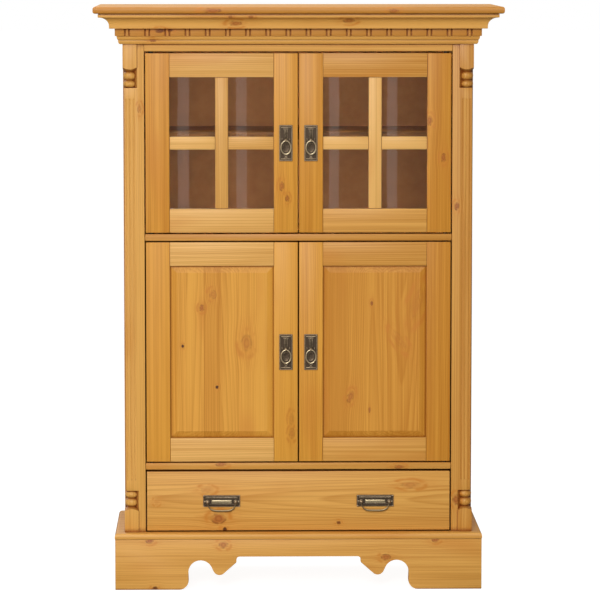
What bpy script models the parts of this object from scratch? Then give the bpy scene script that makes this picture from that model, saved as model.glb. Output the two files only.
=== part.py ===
"""Pine display cabinet: glazed doors over panelled doors, one drawer, a scrolled plinth and a dentil crown.

Metres, +Z up. The front faces -Y, and the origin is on the floor under the middle of the cabinet.
"""
import math

import bmesh
import bpy
from mathutils import Matrix, Vector

# Fits
FIT = 0.0003            # gap between pieces that touch
DOOR_GAP = 0.0032       # shadow line round the doors and the drawer
DRAWER_HEADROOM = 0.0045
UPPER_HEADROOM = 0.0050

# Carcass
BODY_WIDTH = 0.895
BODY_DEPTH = 0.351
SIDE_THICKNESS = 0.018
POST_WIDTH = 0.054
POST_DEPTH = 0.040
DIVIDER_THICKNESS = 0.018
TOP_THICKNESS = 0.018
BACK_THICKNESS = 0.006
BACK_RABBET = 0.009
DADO_DEPTH = 0.006
SHELF_THICKNESS = 0.020
SHELF_RISE = 0.2385     # from the middle divider to the shelf's underside
SHELF_SETBACK = 0.052

# Clear heights between the horizontal boards
DRAWER_OPENING = 0.1615
LOWER_OPENING = 0.573
UPPER_OPENING = 0.4665

# Plinth and base board
PLINTH_HEIGHT = 0.131
PLINTH_THICKNESS = 0.020
PLINTH_SETBACK = 0.001
BASE_THICKNESS = 0.016
BASE_OVERHANG = 0.0255
BASE_NOSE = 0.008

# Plinth scroll, measured from the plinth's end and from the floor
FOOT_WIDTH = 0.189
FOOT_RADIUS = 0.025
RING_CENTRE = (0.2195, 0.045)
RING_RADIUS = 0.0315
DROP_CENTRE = (0.2683, 0.055)
DROP_RADIUS = 0.017
SCROLL_COVE_RADIUS = 0.0075
SCROLL_COVE_X = 0.3195
SCROLL_LIP = 0.0078
SCROLL_TOP = 0.086
SIDE_FOOT_WIDTH = 0.090
SIDE_ARCH_RADIUS = 0.040

# Carved corner of each post
COLUMN_SIZE = 0.036
COLUMN_PROUD = 0.004
UPPER_BLOCK = 0.064
LOWER_BLOCK = 0.060
BEAD_RADIUS = 0.0174
NECK_RADIUS = 0.0112
BEAD_HEIGHT = 0.022
FLARE_HEIGHT = 0.0055
SHOULDER = 0.0085       # from the last bead's middle to the shaft's square end
POCKET_GAP = 0.0003     # between the block's plane and the wall beside the beads
POCKET_EDGE = 0.013     # how deep that wall goes, from the column's axis
FLUTE_COUNT = 3
FLUTE_PITCH = 0.0095
FLUTE_RADIUS = 0.0026
FLUTE_DEPTH = 0.001
FLUTE_START = 0.075     # from the block to the flutes

# Crown
CROWN_SEAT = 0.020      # width of the moulding that rests on the body
BED_HEIGHT = 0.021
BED_FOOT = 0.0065
BED_STEP = 0.0112
BED_GROOVE = 0.0012
BED_OVERHANG = 0.0145
DENTIL_HEIGHT = 0.019
DENTIL_OVERHANG = 0.019
DENTIL_PITCH = 0.0512
KERF_WIDTH = 0.0035
KERF_DEPTH = 0.004
KERF_SPACING = 0.0108   # between the two kerfs beside a narrow tooth
DENTIL_END = 0.025
COVE_HEIGHT = 0.038
COVE_FOOT = 0.033
COVE_FOOT_HEIGHT = 0.007
COVE_HEAD = 0.0605
COVE_HEAD_HEIGHT = 0.0095
COVE_FILLET = 0.0025
CAP_THICKNESS = 0.018
CAP_OVERHANG = 0.073
CAP_NOSE = 0.006

# Doors
DOOR_THICKNESS = 0.020
STILE_WIDTH = 0.061
GROOVE_DEPTH = 0.008
GROOVE_MIDDLE = 0.011   # from the door's front face
GLASS_THICKNESS = 0.004
PANEL_TONGUE = 0.006
PANEL_BEVEL = 0.0175
PANEL_SETBACK = 0.001
BAR_WIDTH = 0.033
BAR_SETBACK = 0.0015

# Pivot pins
PIN_RADIUS = 0.003
PIN_REACH = 0.012
COLLAR_RADIUS = 0.006
PIVOT_IN = 0.014        # from the door's hinge edge
PIVOT_BACK = 0.0075     # from the door's front face

# Drawer
DRAWER_FRONT_THICKNESS = 0.020
DRAWER_WALL = 0.012
DRAWER_DEPTH = 0.285
DRAWER_SIDE_HEIGHT = 0.118
DRAWER_SIDE_PLAY = 0.008
DRAWER_JOINT = 0.006
DRAWER_BOTTOM = 0.005
DRAWER_BOTTOM_RISE = 0.008
DRAWER_BACK_DROP = 0.012
GUIDE_FLOOR = 0.010
GUIDE_HEIGHT = 0.050
GUIDE_LEDGE = 0.016

# Handles
PLATE_THICKNESS = 0.0025
PLATE_RIM = 0.003
PLATE_RECESS = 0.0007
DOOR_PLATE = (0.034, 0.092)
DOOR_PLATE_INSET = 0.0304   # from the door's free edge to the plate's middle
DOOR_LUG_RISE = 0.006
DOOR_RIB = (0.011, 0.028)
DRAWER_PLATE = (0.095, 0.030)
DRAWER_PLATE_X = 0.198
DRAWER_LUG_RISE = -0.002
DRAWER_LUG_SPREAD = 0.036
DRAWER_WINDOW = (0.058, 0.010)
RELIEF = 0.0012
LUG_RADIUS = 0.0052
LUG_WIDTH = 0.007
LUG_FORWARD = 0.0085        # from the wood to the middle of the eye
RING_SIZE = (0.025, 0.034)
RING_WIRE = 0.0016
EYE_RADIUS = 0.0028
BAIL_WIRE = 0.0021
BAIL_SHOULDER = 0.028
BAIL_BEND = 0.005
BAIL_DROP = 0.021

# How finely the curves are faceted
TURN_STEPS = 24
HOLE_STEPS = 16
ARC_STEPS = 6
RING_STEPS = 24

# Places that follow from the sizes above
BODY_HALF = BODY_WIDTH / 2
OPENING_HALF = BODY_HALF - POST_WIDTH
SIDE_INNER = BODY_HALF - SIDE_THICKNESS
Y_BACK = (BODY_DEPTH + CAP_OVERHANG) / 2
Y_FRONT = Y_BACK - BODY_DEPTH
Y_POST_BACK = Y_FRONT + POST_DEPTH
Y_BACK_PANEL = Y_BACK - BACK_THICKNESS
Z_BASE_TOP = PLINTH_HEIGHT + BASE_THICKNESS
Z_DRAWER_DIVIDER = Z_BASE_TOP + DRAWER_OPENING
Z_LOWER = Z_DRAWER_DIVIDER + DIVIDER_THICKNESS
Z_MIDDLE_DIVIDER = Z_LOWER + LOWER_OPENING
Z_UPPER = Z_MIDDLE_DIVIDER + DIVIDER_THICKNESS
Z_TOP_PANEL = Z_UPPER + UPPER_OPENING
Z_BODY_TOP = Z_TOP_PANEL + TOP_THICKNESS
Z_DENTIL = Z_BODY_TOP + BED_HEIGHT
Z_COVE = Z_DENTIL + DENTIL_HEIGHT
Z_CAP = Z_COVE + COVE_HEIGHT
Z_SHELF = Z_UPPER + SHELF_RISE
DOOR_EDGE = OPENING_HALF - DOOR_GAP
DOOR_WIDTH = DOOR_EDGE - DOOR_GAP / 2
PIVOT_X = DOOR_EDGE - PIVOT_IN
PIVOT_Y = Y_FRONT + PIVOT_BACK
COLUMN_HALF = COLUMN_SIZE / 2
COLUMN_X = BODY_HALF - COLUMN_HALF
COLUMN_Y = Y_FRONT - COLUMN_PROUD + COLUMN_HALF
SHAFT_HALF = COLUMN_HALF - COLUMN_PROUD
BEAD_MIDDLE = FLARE_HEIGHT + 1.5 * BEAD_HEIGHT     # from the block to the last bead's middle
OUTSIDE = 0.02          # how far a cutter reaches past the face that it cuts
FRONT_PLANE = Matrix.Rotation(math.radians(90), 4, "X")
SIDE_PLANE = Matrix.Rotation(math.radians(90), 4, "Z") @ FRONT_PLANE
ALONG_X = Matrix.Rotation(math.radians(90), 4, "Y")
SIDES = {"left": -1, "right": 1}

for old in list(bpy.data.objects):
    bpy.data.objects.remove(old)
PARTS = bpy.data.collections.new("display_cabinet")
CUTTERS = bpy.data.collections.new("display_cabinet_cutters")
bpy.context.scene.collection.children.link(PARTS)
bpy.context.scene.collection.children.link(CUTTERS)


def finish(name, colour, roughness, metallic=0.0, transmission=0.0):
    """A Principled material."""
    material = bpy.data.materials.new(name)
    material.use_nodes = True
    shader = material.node_tree.nodes["Principled BSDF"]
    shader.inputs["Base Color"].default_value = (*colour, 1.0)
    shader.inputs["Roughness"].default_value = roughness
    shader.inputs["Metallic"].default_value = metallic
    shader.inputs["Transmission Weight"].default_value = transmission
    return material


PINE = finish("honey_pine", (0.66, 0.36, 0.11), 0.45)
PALE_PINE = finish("pale_pine", (0.74, 0.43, 0.15), 0.45)
PANEL_PINE = finish("panel_pine", (0.64, 0.33, 0.09), 0.45)
BACKING = finish("brown_backing", (0.16, 0.075, 0.03), 0.6)
GLASS = finish("clear_glass", (0.95, 0.97, 0.96), 0.03, transmission=1.0)
BRONZE = finish("dark_bronze", (0.09, 0.06, 0.035), 0.38, metallic=1.0)
BRASS = finish("worn_brass", (0.50, 0.39, 0.24), 0.30, metallic=1.0)
STEEL = finish("steel", (0.55, 0.55, 0.55), 0.35, metallic=1.0)


def world_place(thing):
    """Where an unrotated object's origin is in the world."""
    if thing.parent is None:
        return thing.location.copy()
    return thing.location + world_place(thing.parent)


def joint_axis(name, place, parent=None):
    """An empty on a joint's axis, which carries the pieces that move with it."""
    axis = bpy.data.objects.new(name, None)
    PARTS.objects.link(axis)
    axis.parent = parent
    axis.location = Vector(place) - (world_place(parent) if parent else Vector())
    return axis


def add_part(name, data, place, material, parent=None):
    """A named piece with its origin at a place in the world."""
    part = bpy.data.objects.new(name, data)
    PARTS.objects.link(part)
    part.parent = parent
    part.location = Vector(place) - (world_place(parent) if parent else Vector())
    data.materials.append(material)
    return part


def mesh_from(name, bm):
    """A mesh with its faces turned outward."""
    bmesh.ops.recalc_face_normals(bm, faces=bm.faces)
    mesh = bpy.data.meshes.new(name)
    bm.to_mesh(mesh)
    bm.free()
    return mesh


def round_shading(mesh):
    """Smooth shading that keeps the sharp edges."""
    mesh.shade_smooth()
    mesh.set_sharp_from_angle(angle=math.radians(40))


def add_box(bm, low, high):
    """A box between two corners, added to a mesh."""
    low, high = Vector(low), Vector(high)
    place = Matrix.Translation((low + high) / 2) @ Matrix.Diagonal((*(high - low), 1.0))
    return bmesh.ops.create_cube(bm, size=1.0, matrix=place)["verts"]


def add_rod(bm, place, radius, length, turn=Matrix.Identity(4)):
    """A round rod about a middle point, upright unless it is turned."""
    bmesh.ops.create_cone(bm, cap_ends=True, segments=HOLE_STEPS, radius1=radius, radius2=radius,
                          depth=length, matrix=Matrix.Translation(place) @ turn)


def step_inward(bm, faces, width, height=0.0):
    """Draw a face in by an even width, and raise it by a height."""
    bmesh.ops.inset_region(bm, faces=faces, thickness=width, depth=height, use_even_offset=True)


def board(name, low, high, material, parent=None):
    """A plain board between two corners, with its origin in its middle."""
    middle = (Vector(low) + Vector(high)) / 2
    bm = bmesh.new()
    add_box(bm, Vector(low) - middle, Vector(high) - middle)
    return add_part(name, mesh_from(name, bm), middle, material, parent)


def across(side, near, far):
    """The lower and higher x of a stretch that is mirrored to one side."""
    return min(side * near, side * far), max(side * near, side * far)


def add_cutter(name, bm):
    """A hidden tool solid, made in world coordinates."""
    cutter = bpy.data.objects.new(name, mesh_from(name, bm))
    CUTTERS.objects.link(cutter)
    cutter.hide_render = True
    cutter.display_type = "WIRE"
    return cutter


def box_cutter(name, *boxes):
    """One tool made of boxes that stay clear of each other."""
    bm = bmesh.new()
    for low, high in boxes:
        add_box(bm, low, high)
    return add_cutter(name, bm)


def combine(part, tool, operation="DIFFERENCE"):
    """Cut a piece with a tool, or join the tool to it."""
    modifier = part.modifiers.new(tool.name, "BOOLEAN")
    modifier.operation = operation
    modifier.solver = "EXACT"
    modifier.object = tool


def arc(centre, radius, start, end, steps=ARC_STEPS):
    """Points along an arc, with its angles in degrees."""
    angles = [math.radians(start + (end - start) * step / steps) for step in range(steps + 1)]
    return [(centre[0] + radius * math.cos(a), centre[1] + radius * math.sin(a)) for a in angles]


def outline_solid(points, low, high, plane=Matrix.Identity(4)):
    """A flat closed outline, thickened from low to high along its normal."""
    curve = bpy.data.curves.new("outline", "CURVE")
    curve.dimensions = "2D"
    curve.fill_mode = "BOTH"
    curve.extrude = (high - low) / 2
    spline = curve.splines.new("POLY")
    spline.points.add(len(points) - 1)
    for point, (u, v) in zip(spline.points, points):
        point.co = (u, v, 0.0, 1.0)
    spline.use_cyclic_u = True
    holder = bpy.data.objects.new("outline", curve)
    bpy.context.scene.collection.objects.link(holder)
    depsgraph = bpy.context.evaluated_depsgraph_get()
    mesh = bpy.data.meshes.new_from_object(holder.evaluated_get(depsgraph))
    bpy.data.objects.remove(holder)
    bpy.data.curves.remove(curve)
    bm = bmesh.new()
    bm.from_mesh(mesh)
    bpy.data.meshes.remove(mesh)
    bmesh.ops.remove_doubles(bm, verts=bm.verts, dist=0.00001)
    bm.transform(plane @ Matrix.Translation((0.0, 0.0, (low + high) / 2)))
    return bm


def turned_mesh(name, profile):
    """The half outline of a turned piece: (radius, height) points from the top down."""
    bm = bmesh.new()
    verts = [bm.verts.new((radius, 0.0, height)) for radius, height in profile]
    for above, below in zip(verts, verts[1:]):
        bm.edges.new((above, below))
    mesh = bpy.data.meshes.new(name)
    bm.to_mesh(mesh)
    bm.free()
    return mesh


def turn(thing, steps):
    """Spin an object's profile about its own upright axis."""
    screw = thing.modifiers.new("turning", "SCREW")
    screw.steps = steps
    screw.render_steps = steps
    screw.use_merge_vertices = True
    screw.merge_threshold = 0.00001
    screw.use_smooth_shade = True


def wire(name, points, radius, place, material, parent, closed):
    """A bent wire: a tube along points that are given from its origin."""
    curve = bpy.data.curves.new(name, "CURVE")
    curve.dimensions = "3D"
    curve.bevel_depth = radius
    curve.bevel_resolution = 2
    curve.use_fill_caps = True
    spline = curve.splines.new("POLY")
    spline.points.add(len(points) - 1)
    for point, (x, z) in zip(spline.points, points):
        point.co = (x, 0.0, z, 1.0)
    spline.use_cyclic_u = closed
    return add_part(name, curve, place, material, parent)


def mitred_frame(name, section, material):
    """A moulding of one (overhang, height) section, mitred round the front and both sides of the body."""
    bm = bmesh.new()
    stations = []
    for x_sign, at_back in ((-1, True), (-1, False), (1, False), (1, True)):
        stations.append([
            bm.verts.new((x_sign * (BODY_HALF + out), Y_BACK if at_back else Y_FRONT - out, height))
            for out, height in section])
    bm.faces.new(stations[0])
    bm.faces.new(stations[-1])
    for near, far in zip(stations, stations[1:]):
        for i, j in zip(range(len(section)), [*range(1, len(section)), 0]):
            bm.faces.new((near[i], near[j], far[j], far[i]))
    return add_part(name, mesh_from(name, bm), (0.0, 0.0, 0.0), material)


def nosed_board(name, low, high, nose, edges_at, material):
    """A board whose front and side edges are rounded at the given heights."""
    middle = (Vector(low) + Vector(high)) / 2
    half = (Vector(high) - Vector(low)) / 2
    bm = bmesh.new()
    add_box(bm, -half, half)
    rounded = []
    for edge in bm.edges:
        centre = (edge.verts[0].co + edge.verts[1].co) / 2
        at_back = centre.y > half.y * 0.99
        level = any(abs(centre.z - half.z * sign) < FIT for sign in edges_at)
        if level and not at_back:
            rounded.append(edge)
    bmesh.ops.bevel(bm, geom=rounded, offset=nose, segments=3, profile=0.5, affect="EDGES")
    mesh = mesh_from(name, bm)
    round_shading(mesh)
    return add_part(name, mesh, middle, material)


def plinth():
    """The plinth: three mitred boards, with a scroll cut under the front and an arch under each side."""
    out = BASE_OVERHANG - PLINTH_SETBACK
    section = [(out - PLINTH_THICKNESS, 0.0), (out, 0.0), (out, PLINTH_HEIGHT - FIT),
               (out - PLINTH_THICKNESS, PLINTH_HEIGHT - FIT)]
    frame = mitred_frame("plinth_frame", section, PINE)
    end = BODY_HALF + out
    half = [(FOOT_WIDTH - FOOT_RADIUS, -OUTSIDE)]
    half += arc((FOOT_WIDTH - FOOT_RADIUS, FOOT_RADIUS), FOOT_RADIUS, -90, 0)
    half += arc(RING_CENTRE, RING_RADIUS, 178, 25, 2 * ARC_STEPS)
    half += arc(DROP_CENTRE, DROP_RADIUS, 205, 313, 2 * ARC_STEPS)
    cove_foot = SCROLL_TOP - SCROLL_COVE_RADIUS
    half.append((SCROLL_COVE_X - SCROLL_COVE_RADIUS, cove_foot - SCROLL_LIP))
    half += arc((SCROLL_COVE_X, cove_foot), SCROLL_COVE_RADIUS, 180, 90, ARC_STEPS // 2)
    left = [(u - end, v) for u, v in half]
    right = [(-u, v) for u, v in reversed(left)]
    inner = Y_FRONT - out + PLINTH_THICKNESS
    scroll = outline_solid(left + right, -inner - OUTSIDE, -inner + PLINTH_THICKNESS + OUTSIDE, FRONT_PLANE)
    combine(frame, add_cutter("plinth_scroll", scroll))
    front_end = Y_FRONT - out + SIDE_FOOT_WIDTH
    back_end = Y_BACK - SIDE_FOOT_WIDTH
    rise = SCROLL_TOP - SIDE_ARCH_RADIUS
    arch = [(front_end, -OUTSIDE)]
    arch += arc((front_end + SIDE_ARCH_RADIUS, rise), SIDE_ARCH_RADIUS, 180, 90)
    arch += arc((back_end - SIDE_ARCH_RADIUS, rise), SIDE_ARCH_RADIUS, 90, 0)
    arch += [(back_end, -OUTSIDE)]
    arches = outline_solid(arch, -end - OUTSIDE, end + OUTSIDE, SIDE_PLANE)
    combine(frame, add_cutter("plinth_arches", arches))


def quarter_round(foot, head, low, high):
    """Part of a moulding's section that swells from its foot to its head: (overhang, height) points."""
    angles = [math.pi / 2 * step / (ARC_STEPS // 2) for step in range(ARC_STEPS // 2 + 1)]
    return [(foot + (head - foot) * math.sin(a), low + (high - low) * (1.0 - math.cos(a))) for a in angles]


def crown():
    """The crown: bed mould, dentils and cove in one mitred moulding, under a cap board with a round nose."""
    bed_low = Z_BODY_TOP + FIT
    bed_middle = (bed_low + Z_DENTIL) / 2
    bed = quarter_round(BED_FOOT, BED_STEP, bed_low, bed_middle)
    bed += quarter_round(BED_STEP - BED_GROOVE, BED_OVERHANG, bed_middle, Z_DENTIL)
    cove_low = Z_COVE + COVE_FOOT_HEIGHT
    cove_high = Z_CAP - COVE_HEAD_HEIGHT
    cove_edge = COVE_HEAD - COVE_FILLET
    cove = [(cove_edge - (cove_edge - COVE_FOOT) * math.cos(math.pi / 2 * step / ARC_STEPS),
             cove_low + (cove_high - cove_low) * math.sin(math.pi / 2 * step / ARC_STEPS))
            for step in range(ARC_STEPS + 1)]
    section = [(-CROWN_SEAT, Z_BODY_TOP + FIT), *bed, (DENTIL_OVERHANG, Z_DENTIL), (DENTIL_OVERHANG, Z_COVE),
               (COVE_FOOT, Z_COVE), *cove, (COVE_HEAD, cove_high), (COVE_HEAD, Z_CAP), (-CROWN_SEAT, Z_CAP)]
    moulding = mitred_frame("crown_moulding", section, PINE)
    band_half = BODY_HALF + DENTIL_OVERHANG
    pair_width = KERF_SPACING + KERF_WIDTH
    front_count = round((2 * (band_half - DENTIL_END) - pair_width) / DENTIL_PITCH) + 1
    side_count = round((BODY_DEPTH + DENTIL_OVERHANG - 2 * DENTIL_END - pair_width) / DENTIL_PITCH) + 1
    face = Y_FRONT - DENTIL_OVERHANG
    reach = COVE_FOOT - DENTIL_OVERHANG
    kerfs = []
    for shift in (-KERF_SPACING / 2, KERF_SPACING / 2):
        for index in range(front_count):
            x = (index - (front_count - 1) / 2) * DENTIL_PITCH + shift
            kerfs.append(((x - KERF_WIDTH / 2, face - reach, Z_DENTIL - FIT),
                          (x + KERF_WIDTH / 2, face + KERF_DEPTH, Z_COVE)))
        for side in SIDES.values():
            low_x, high_x = across(side, band_half - KERF_DEPTH, band_half + reach)
            for index in range(side_count):
                y = face + DENTIL_END + pair_width / 2 + index * DENTIL_PITCH + shift
                kerfs.append(((low_x, y - KERF_WIDTH / 2, Z_DENTIL - FIT),
                              (high_x, y + KERF_WIDTH / 2, Z_COVE)))
    combine(moulding, box_cutter("dentil_kerfs", *kerfs))
    half = BODY_HALF + CAP_OVERHANG
    nosed_board("crown_cap", (-half, Y_FRONT - CAP_OVERHANG, Z_CAP + FIT),
                (half, Y_BACK, Z_CAP + CAP_THICKNESS), CAP_NOSE, (-1, 1), PINE)


def bead_profile():
    """A column's turned end: (radius, depth below the block) points, from the block to the last dome."""
    flare = [(0.0, -COLUMN_SIZE), (COLUMN_SIZE, -COLUMN_HALF), (COLUMN_HALF * math.sqrt(2), -FLARE_HEIGHT)]
    bead = []
    for step in range(ARC_STEPS + 1):
        swell = math.sqrt(abs(math.sin(math.pi * step / ARC_STEPS)))
        bead.append((NECK_RADIUS + (BEAD_RADIUS - NECK_RADIUS) * swell,
                     FLARE_HEIGHT + BEAD_HEIGHT * step / ARC_STEPS))
    next_bead = [(radius, depth + BEAD_HEIGHT) for radius, depth in bead[1:ARC_STEPS // 2 + 1]]
    dome = [(BEAD_RADIUS * across_dome, BEAD_MIDDLE + BEAD_HEIGHT / 2 * along_dome)
            for across_dome, along_dome in arc((0.0, 0.0), 1.0, 0, 90, ARC_STEPS // 2)[1:-1]]
    return flare + bead + next_bead + dome + [(0.0, BEAD_MIDDLE + BEAD_HEIGHT / 2)]


def turned_end(name, side, block_edge, downward):
    """The turned beads at one end of a column, as a solid about the column's axis."""
    profile = [(radius, -downward * depth) for radius, depth in bead_profile()[::downward]]
    beads = bpy.data.objects.new(name, turned_mesh(name, profile))
    CUTTERS.objects.link(beads)
    beads.location = (side * COLUMN_X, COLUMN_Y, block_edge)
    beads.hide_render = True
    beads.display_type = "WIRE"
    turn(beads, TURN_STEPS)
    return beads


def column_waste(label, side, block_low, block_high):
    """What is cut off a post's outer corner between its blocks, to leave the beads and the shaft."""
    pocket = COLUMN_HALF + POCKET_GAP
    wide = COLUMN_SIZE
    corner = [(-pocket, -wide), (wide, -wide), (wide, pocket), (POCKET_EDGE, pocket), (-pocket, -POCKET_EDGE)]
    plan = [(side * (COLUMN_X + u), COLUMN_Y + v) for u, v in corner]
    into_block = COLUMN_HALF - FIT
    waste = add_cutter(f"{label}_column_waste",
                       outline_solid(plan, block_low - into_block, block_high + into_block))
    combine(waste, turned_end(f"{label}_lower_beads", side, block_low, -1))
    combine(waste, turned_end(f"{label}_upper_beads", side, block_high, 1))
    shaft_x = across(side, COLUMN_X - wide, COLUMN_X + SHAFT_HALF)
    combine(waste, box_cutter(f"{label}_shaft", (
        (shaft_x[0], COLUMN_Y - SHAFT_HALF, block_low + BEAD_MIDDLE + SHOULDER),
        (shaft_x[1], COLUMN_Y + wide, block_high - BEAD_MIDDLE - SHOULDER))))
    return waste


def corner_post(label, side):
    """A front post whose outer corner is a fluted column between two square blocks."""
    low_x, high_x = across(side, OPENING_HALF, BODY_HALF)
    front = Y_FRONT - COLUMN_PROUD
    post = board(f"{label}_corner_post", (low_x, front, Z_BASE_TOP + FIT),
                 (high_x, Y_POST_BACK, Z_BODY_TOP), PINE)
    strip_x = across(side, OPENING_HALF - OUTSIDE, BODY_HALF - COLUMN_SIZE)
    combine(post, box_cutter(f"{label}_post_strip", ((strip_x[0], front - OUTSIDE, Z_BASE_TOP - OUTSIDE),
                                                     (strip_x[1], Y_FRONT, Z_BODY_TOP + OUTSIDE))))
    block_low = Z_BASE_TOP + LOWER_BLOCK
    block_high = Z_BODY_TOP - UPPER_BLOCK
    combine(post, column_waste(label, side, block_low, block_high))
    flutes = bmesh.new()
    sunk = FLUTE_RADIUS - FLUTE_DEPTH
    flute_middle = (block_low + block_high) / 2
    flute_length = block_high - block_low - 2 * FLUTE_START
    for index in range(FLUTE_COUNT):
        shift = (index - (FLUTE_COUNT - 1) / 2) * FLUTE_PITCH
        for x, y in ((COLUMN_X + shift, Y_FRONT - sunk), (COLUMN_X + SHAFT_HALF + sunk, COLUMN_Y + shift)):
            add_rod(flutes, (side * x, y, flute_middle), FLUTE_RADIUS, flute_length)
    combine(post, add_cutter(f"{label}_flutes", flutes))


def pin_hole_cutter(name, low, high):
    """The pivot holes of both hinge sides, through one height."""
    bm = bmesh.new()
    for side in SIDES.values():
        add_rod(bm, (side * PIVOT_X, PIVOT_Y, (low + high) / 2), PIN_RADIUS + FIT, high - low)
    return add_cutter(name, bm)


def cross_board(name, bottom, thickness, half_width, back, material):
    """A level board that is notched round the front posts."""
    part = board(name, (-half_width, Y_FRONT, bottom), (half_width, back, bottom + thickness), material)
    notches = []
    for side in SIDES.values():
        low_x, high_x = across(side, OPENING_HALF - FIT, half_width + OUTSIDE)
        notches.append(((low_x, Y_FRONT - OUTSIDE, bottom - OUTSIDE),
                        (high_x, Y_POST_BACK + FIT, bottom + thickness + OUTSIDE)))
    combine(part, box_cutter(f"{name}_notches", *notches))
    return part


def carcass():
    """Side panels, dividers, shelf, back and top."""
    dado_end = SIDE_INNER + DADO_DEPTH
    shelf_front = Y_FRONT + SHELF_SETBACK
    for label, side in SIDES.items():
        low_x, high_x = across(side, SIDE_INNER, BODY_HALF)
        panel = board(f"{label}_side_panel", (low_x, Y_POST_BACK + FIT, Z_BASE_TOP + FIT),
                      (high_x, Y_BACK, Z_TOP_PANEL - FIT), PINE)
        dado_x = across(side, SIDE_INNER - OUTSIDE, dado_end)
        dados = []
        for bottom, thickness, front in ((Z_DRAWER_DIVIDER, DIVIDER_THICKNESS, Y_POST_BACK - OUTSIDE),
                                         (Z_MIDDLE_DIVIDER, DIVIDER_THICKNESS, Y_POST_BACK - OUTSIDE),
                                         (Z_SHELF, SHELF_THICKNESS, shelf_front - FIT)):
            dados.append(((dado_x[0], front, bottom - FIT),
                          (dado_x[1], Y_BACK_PANEL, bottom + thickness + FIT)))
        combine(panel, box_cutter(f"{label}_dados", *dados))
        rabbet_x = across(side, SIDE_INNER - OUTSIDE, SIDE_INNER + BACK_RABBET)
        combine(panel, box_cutter(f"{label}_rabbet", ((rabbet_x[0], Y_BACK_PANEL - FIT, Z_BASE_TOP - OUTSIDE),
                                                      (rabbet_x[1], Y_BACK + OUTSIDE, Z_BODY_TOP))))
    inside_back = Y_BACK_PANEL - 2 * FIT
    inside_half = dado_end - FIT
    lower = cross_board("drawer_divider", Z_DRAWER_DIVIDER, DIVIDER_THICKNESS, inside_half, inside_back, PINE)
    combine(lower, pin_hole_cutter("lower_pin_holes", Z_LOWER - PIN_REACH - FIT, Z_LOWER + OUTSIDE))
    middle = cross_board("middle_divider", Z_MIDDLE_DIVIDER, DIVIDER_THICKNESS, inside_half, inside_back,
                         PINE)
    combine(middle, pin_hole_cutter("middle_pin_holes", Z_MIDDLE_DIVIDER - OUTSIDE, Z_UPPER + OUTSIDE))
    top = cross_board("top_panel", Z_TOP_PANEL, TOP_THICKNESS, BODY_HALF, Y_BACK, PINE)
    combine(top, pin_hole_cutter("upper_pin_holes", Z_TOP_PANEL - OUTSIDE, Z_TOP_PANEL + PIN_REACH + FIT))
    board("upper_shelf", (-inside_half, shelf_front, Z_SHELF),
          (inside_half, inside_back, Z_SHELF + SHELF_THICKNESS), PINE)
    back_half = SIDE_INNER + BACK_RABBET - FIT
    board("back_panel", (-back_half, Y_BACK_PANEL, Z_BASE_TOP + FIT),
          (back_half, Y_BACK, Z_TOP_PANEL - FIT), BACKING)
    half = BODY_HALF + BASE_OVERHANG
    nosed_board("base_board", (-half, Y_FRONT - BASE_OVERHANG, PLINTH_HEIGHT), (half, Y_BACK, Z_BASE_TOP),
                BASE_NOSE, (1,), PINE)


def pivot_pin(name, place, profile):
    """A turned steel pin: (radius, height) points from the top down, about a place on the door's axis."""
    turn(add_part(name, turned_mesh(name, profile), place, STEEL), HOLE_STEPS)


def pin_profile(gap, foot):
    """A pin with a collar for a gap under a door, from its tip in the door to its foot in a board."""
    collar = gap - 2 * FIT
    tip = gap + PIN_REACH - FIT
    return [(0.0, tip), (PIN_RADIUS, tip), (PIN_RADIUS, collar), (COLLAR_RADIUS, collar),
            (COLLAR_RADIUS, 0.0), (PIN_RADIUS, 0.0), (PIN_RADIUS, -foot), (0.0, -foot)]


def pivot_pins():
    """Pins in the horizontal boards, on which the doors turn. Each has a collar in the gap beside a door."""
    through = DIVIDER_THICKNESS + DOOR_GAP + PIN_REACH
    short_pin = pin_profile(DOOR_GAP, PIN_REACH)
    long_pin = pin_profile(DOOR_GAP, through)
    hung_pin = [(radius, -height) for radius, height in reversed(pin_profile(UPPER_HEADROOM, PIN_REACH))]
    for label, side in SIDES.items():
        x = side * PIVOT_X
        pivot_pin(f"hinge_pin_{label}_bottom", (x, PIVOT_Y, Z_LOWER + FIT), short_pin)
        pivot_pin(f"hinge_pin_{label}_middle", (x, PIVOT_Y, Z_UPPER + FIT), long_pin)
        pivot_pin(f"hinge_pin_{label}_top", (x, PIVOT_Y, Z_TOP_PANEL - FIT), hung_pin)


def door_x(side, near, far):
    """The lower and higher x of a stretch across a door, measured from its hinge edge."""
    return across(side, DOOR_EDGE - near, DOOR_EDGE - far)


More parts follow.
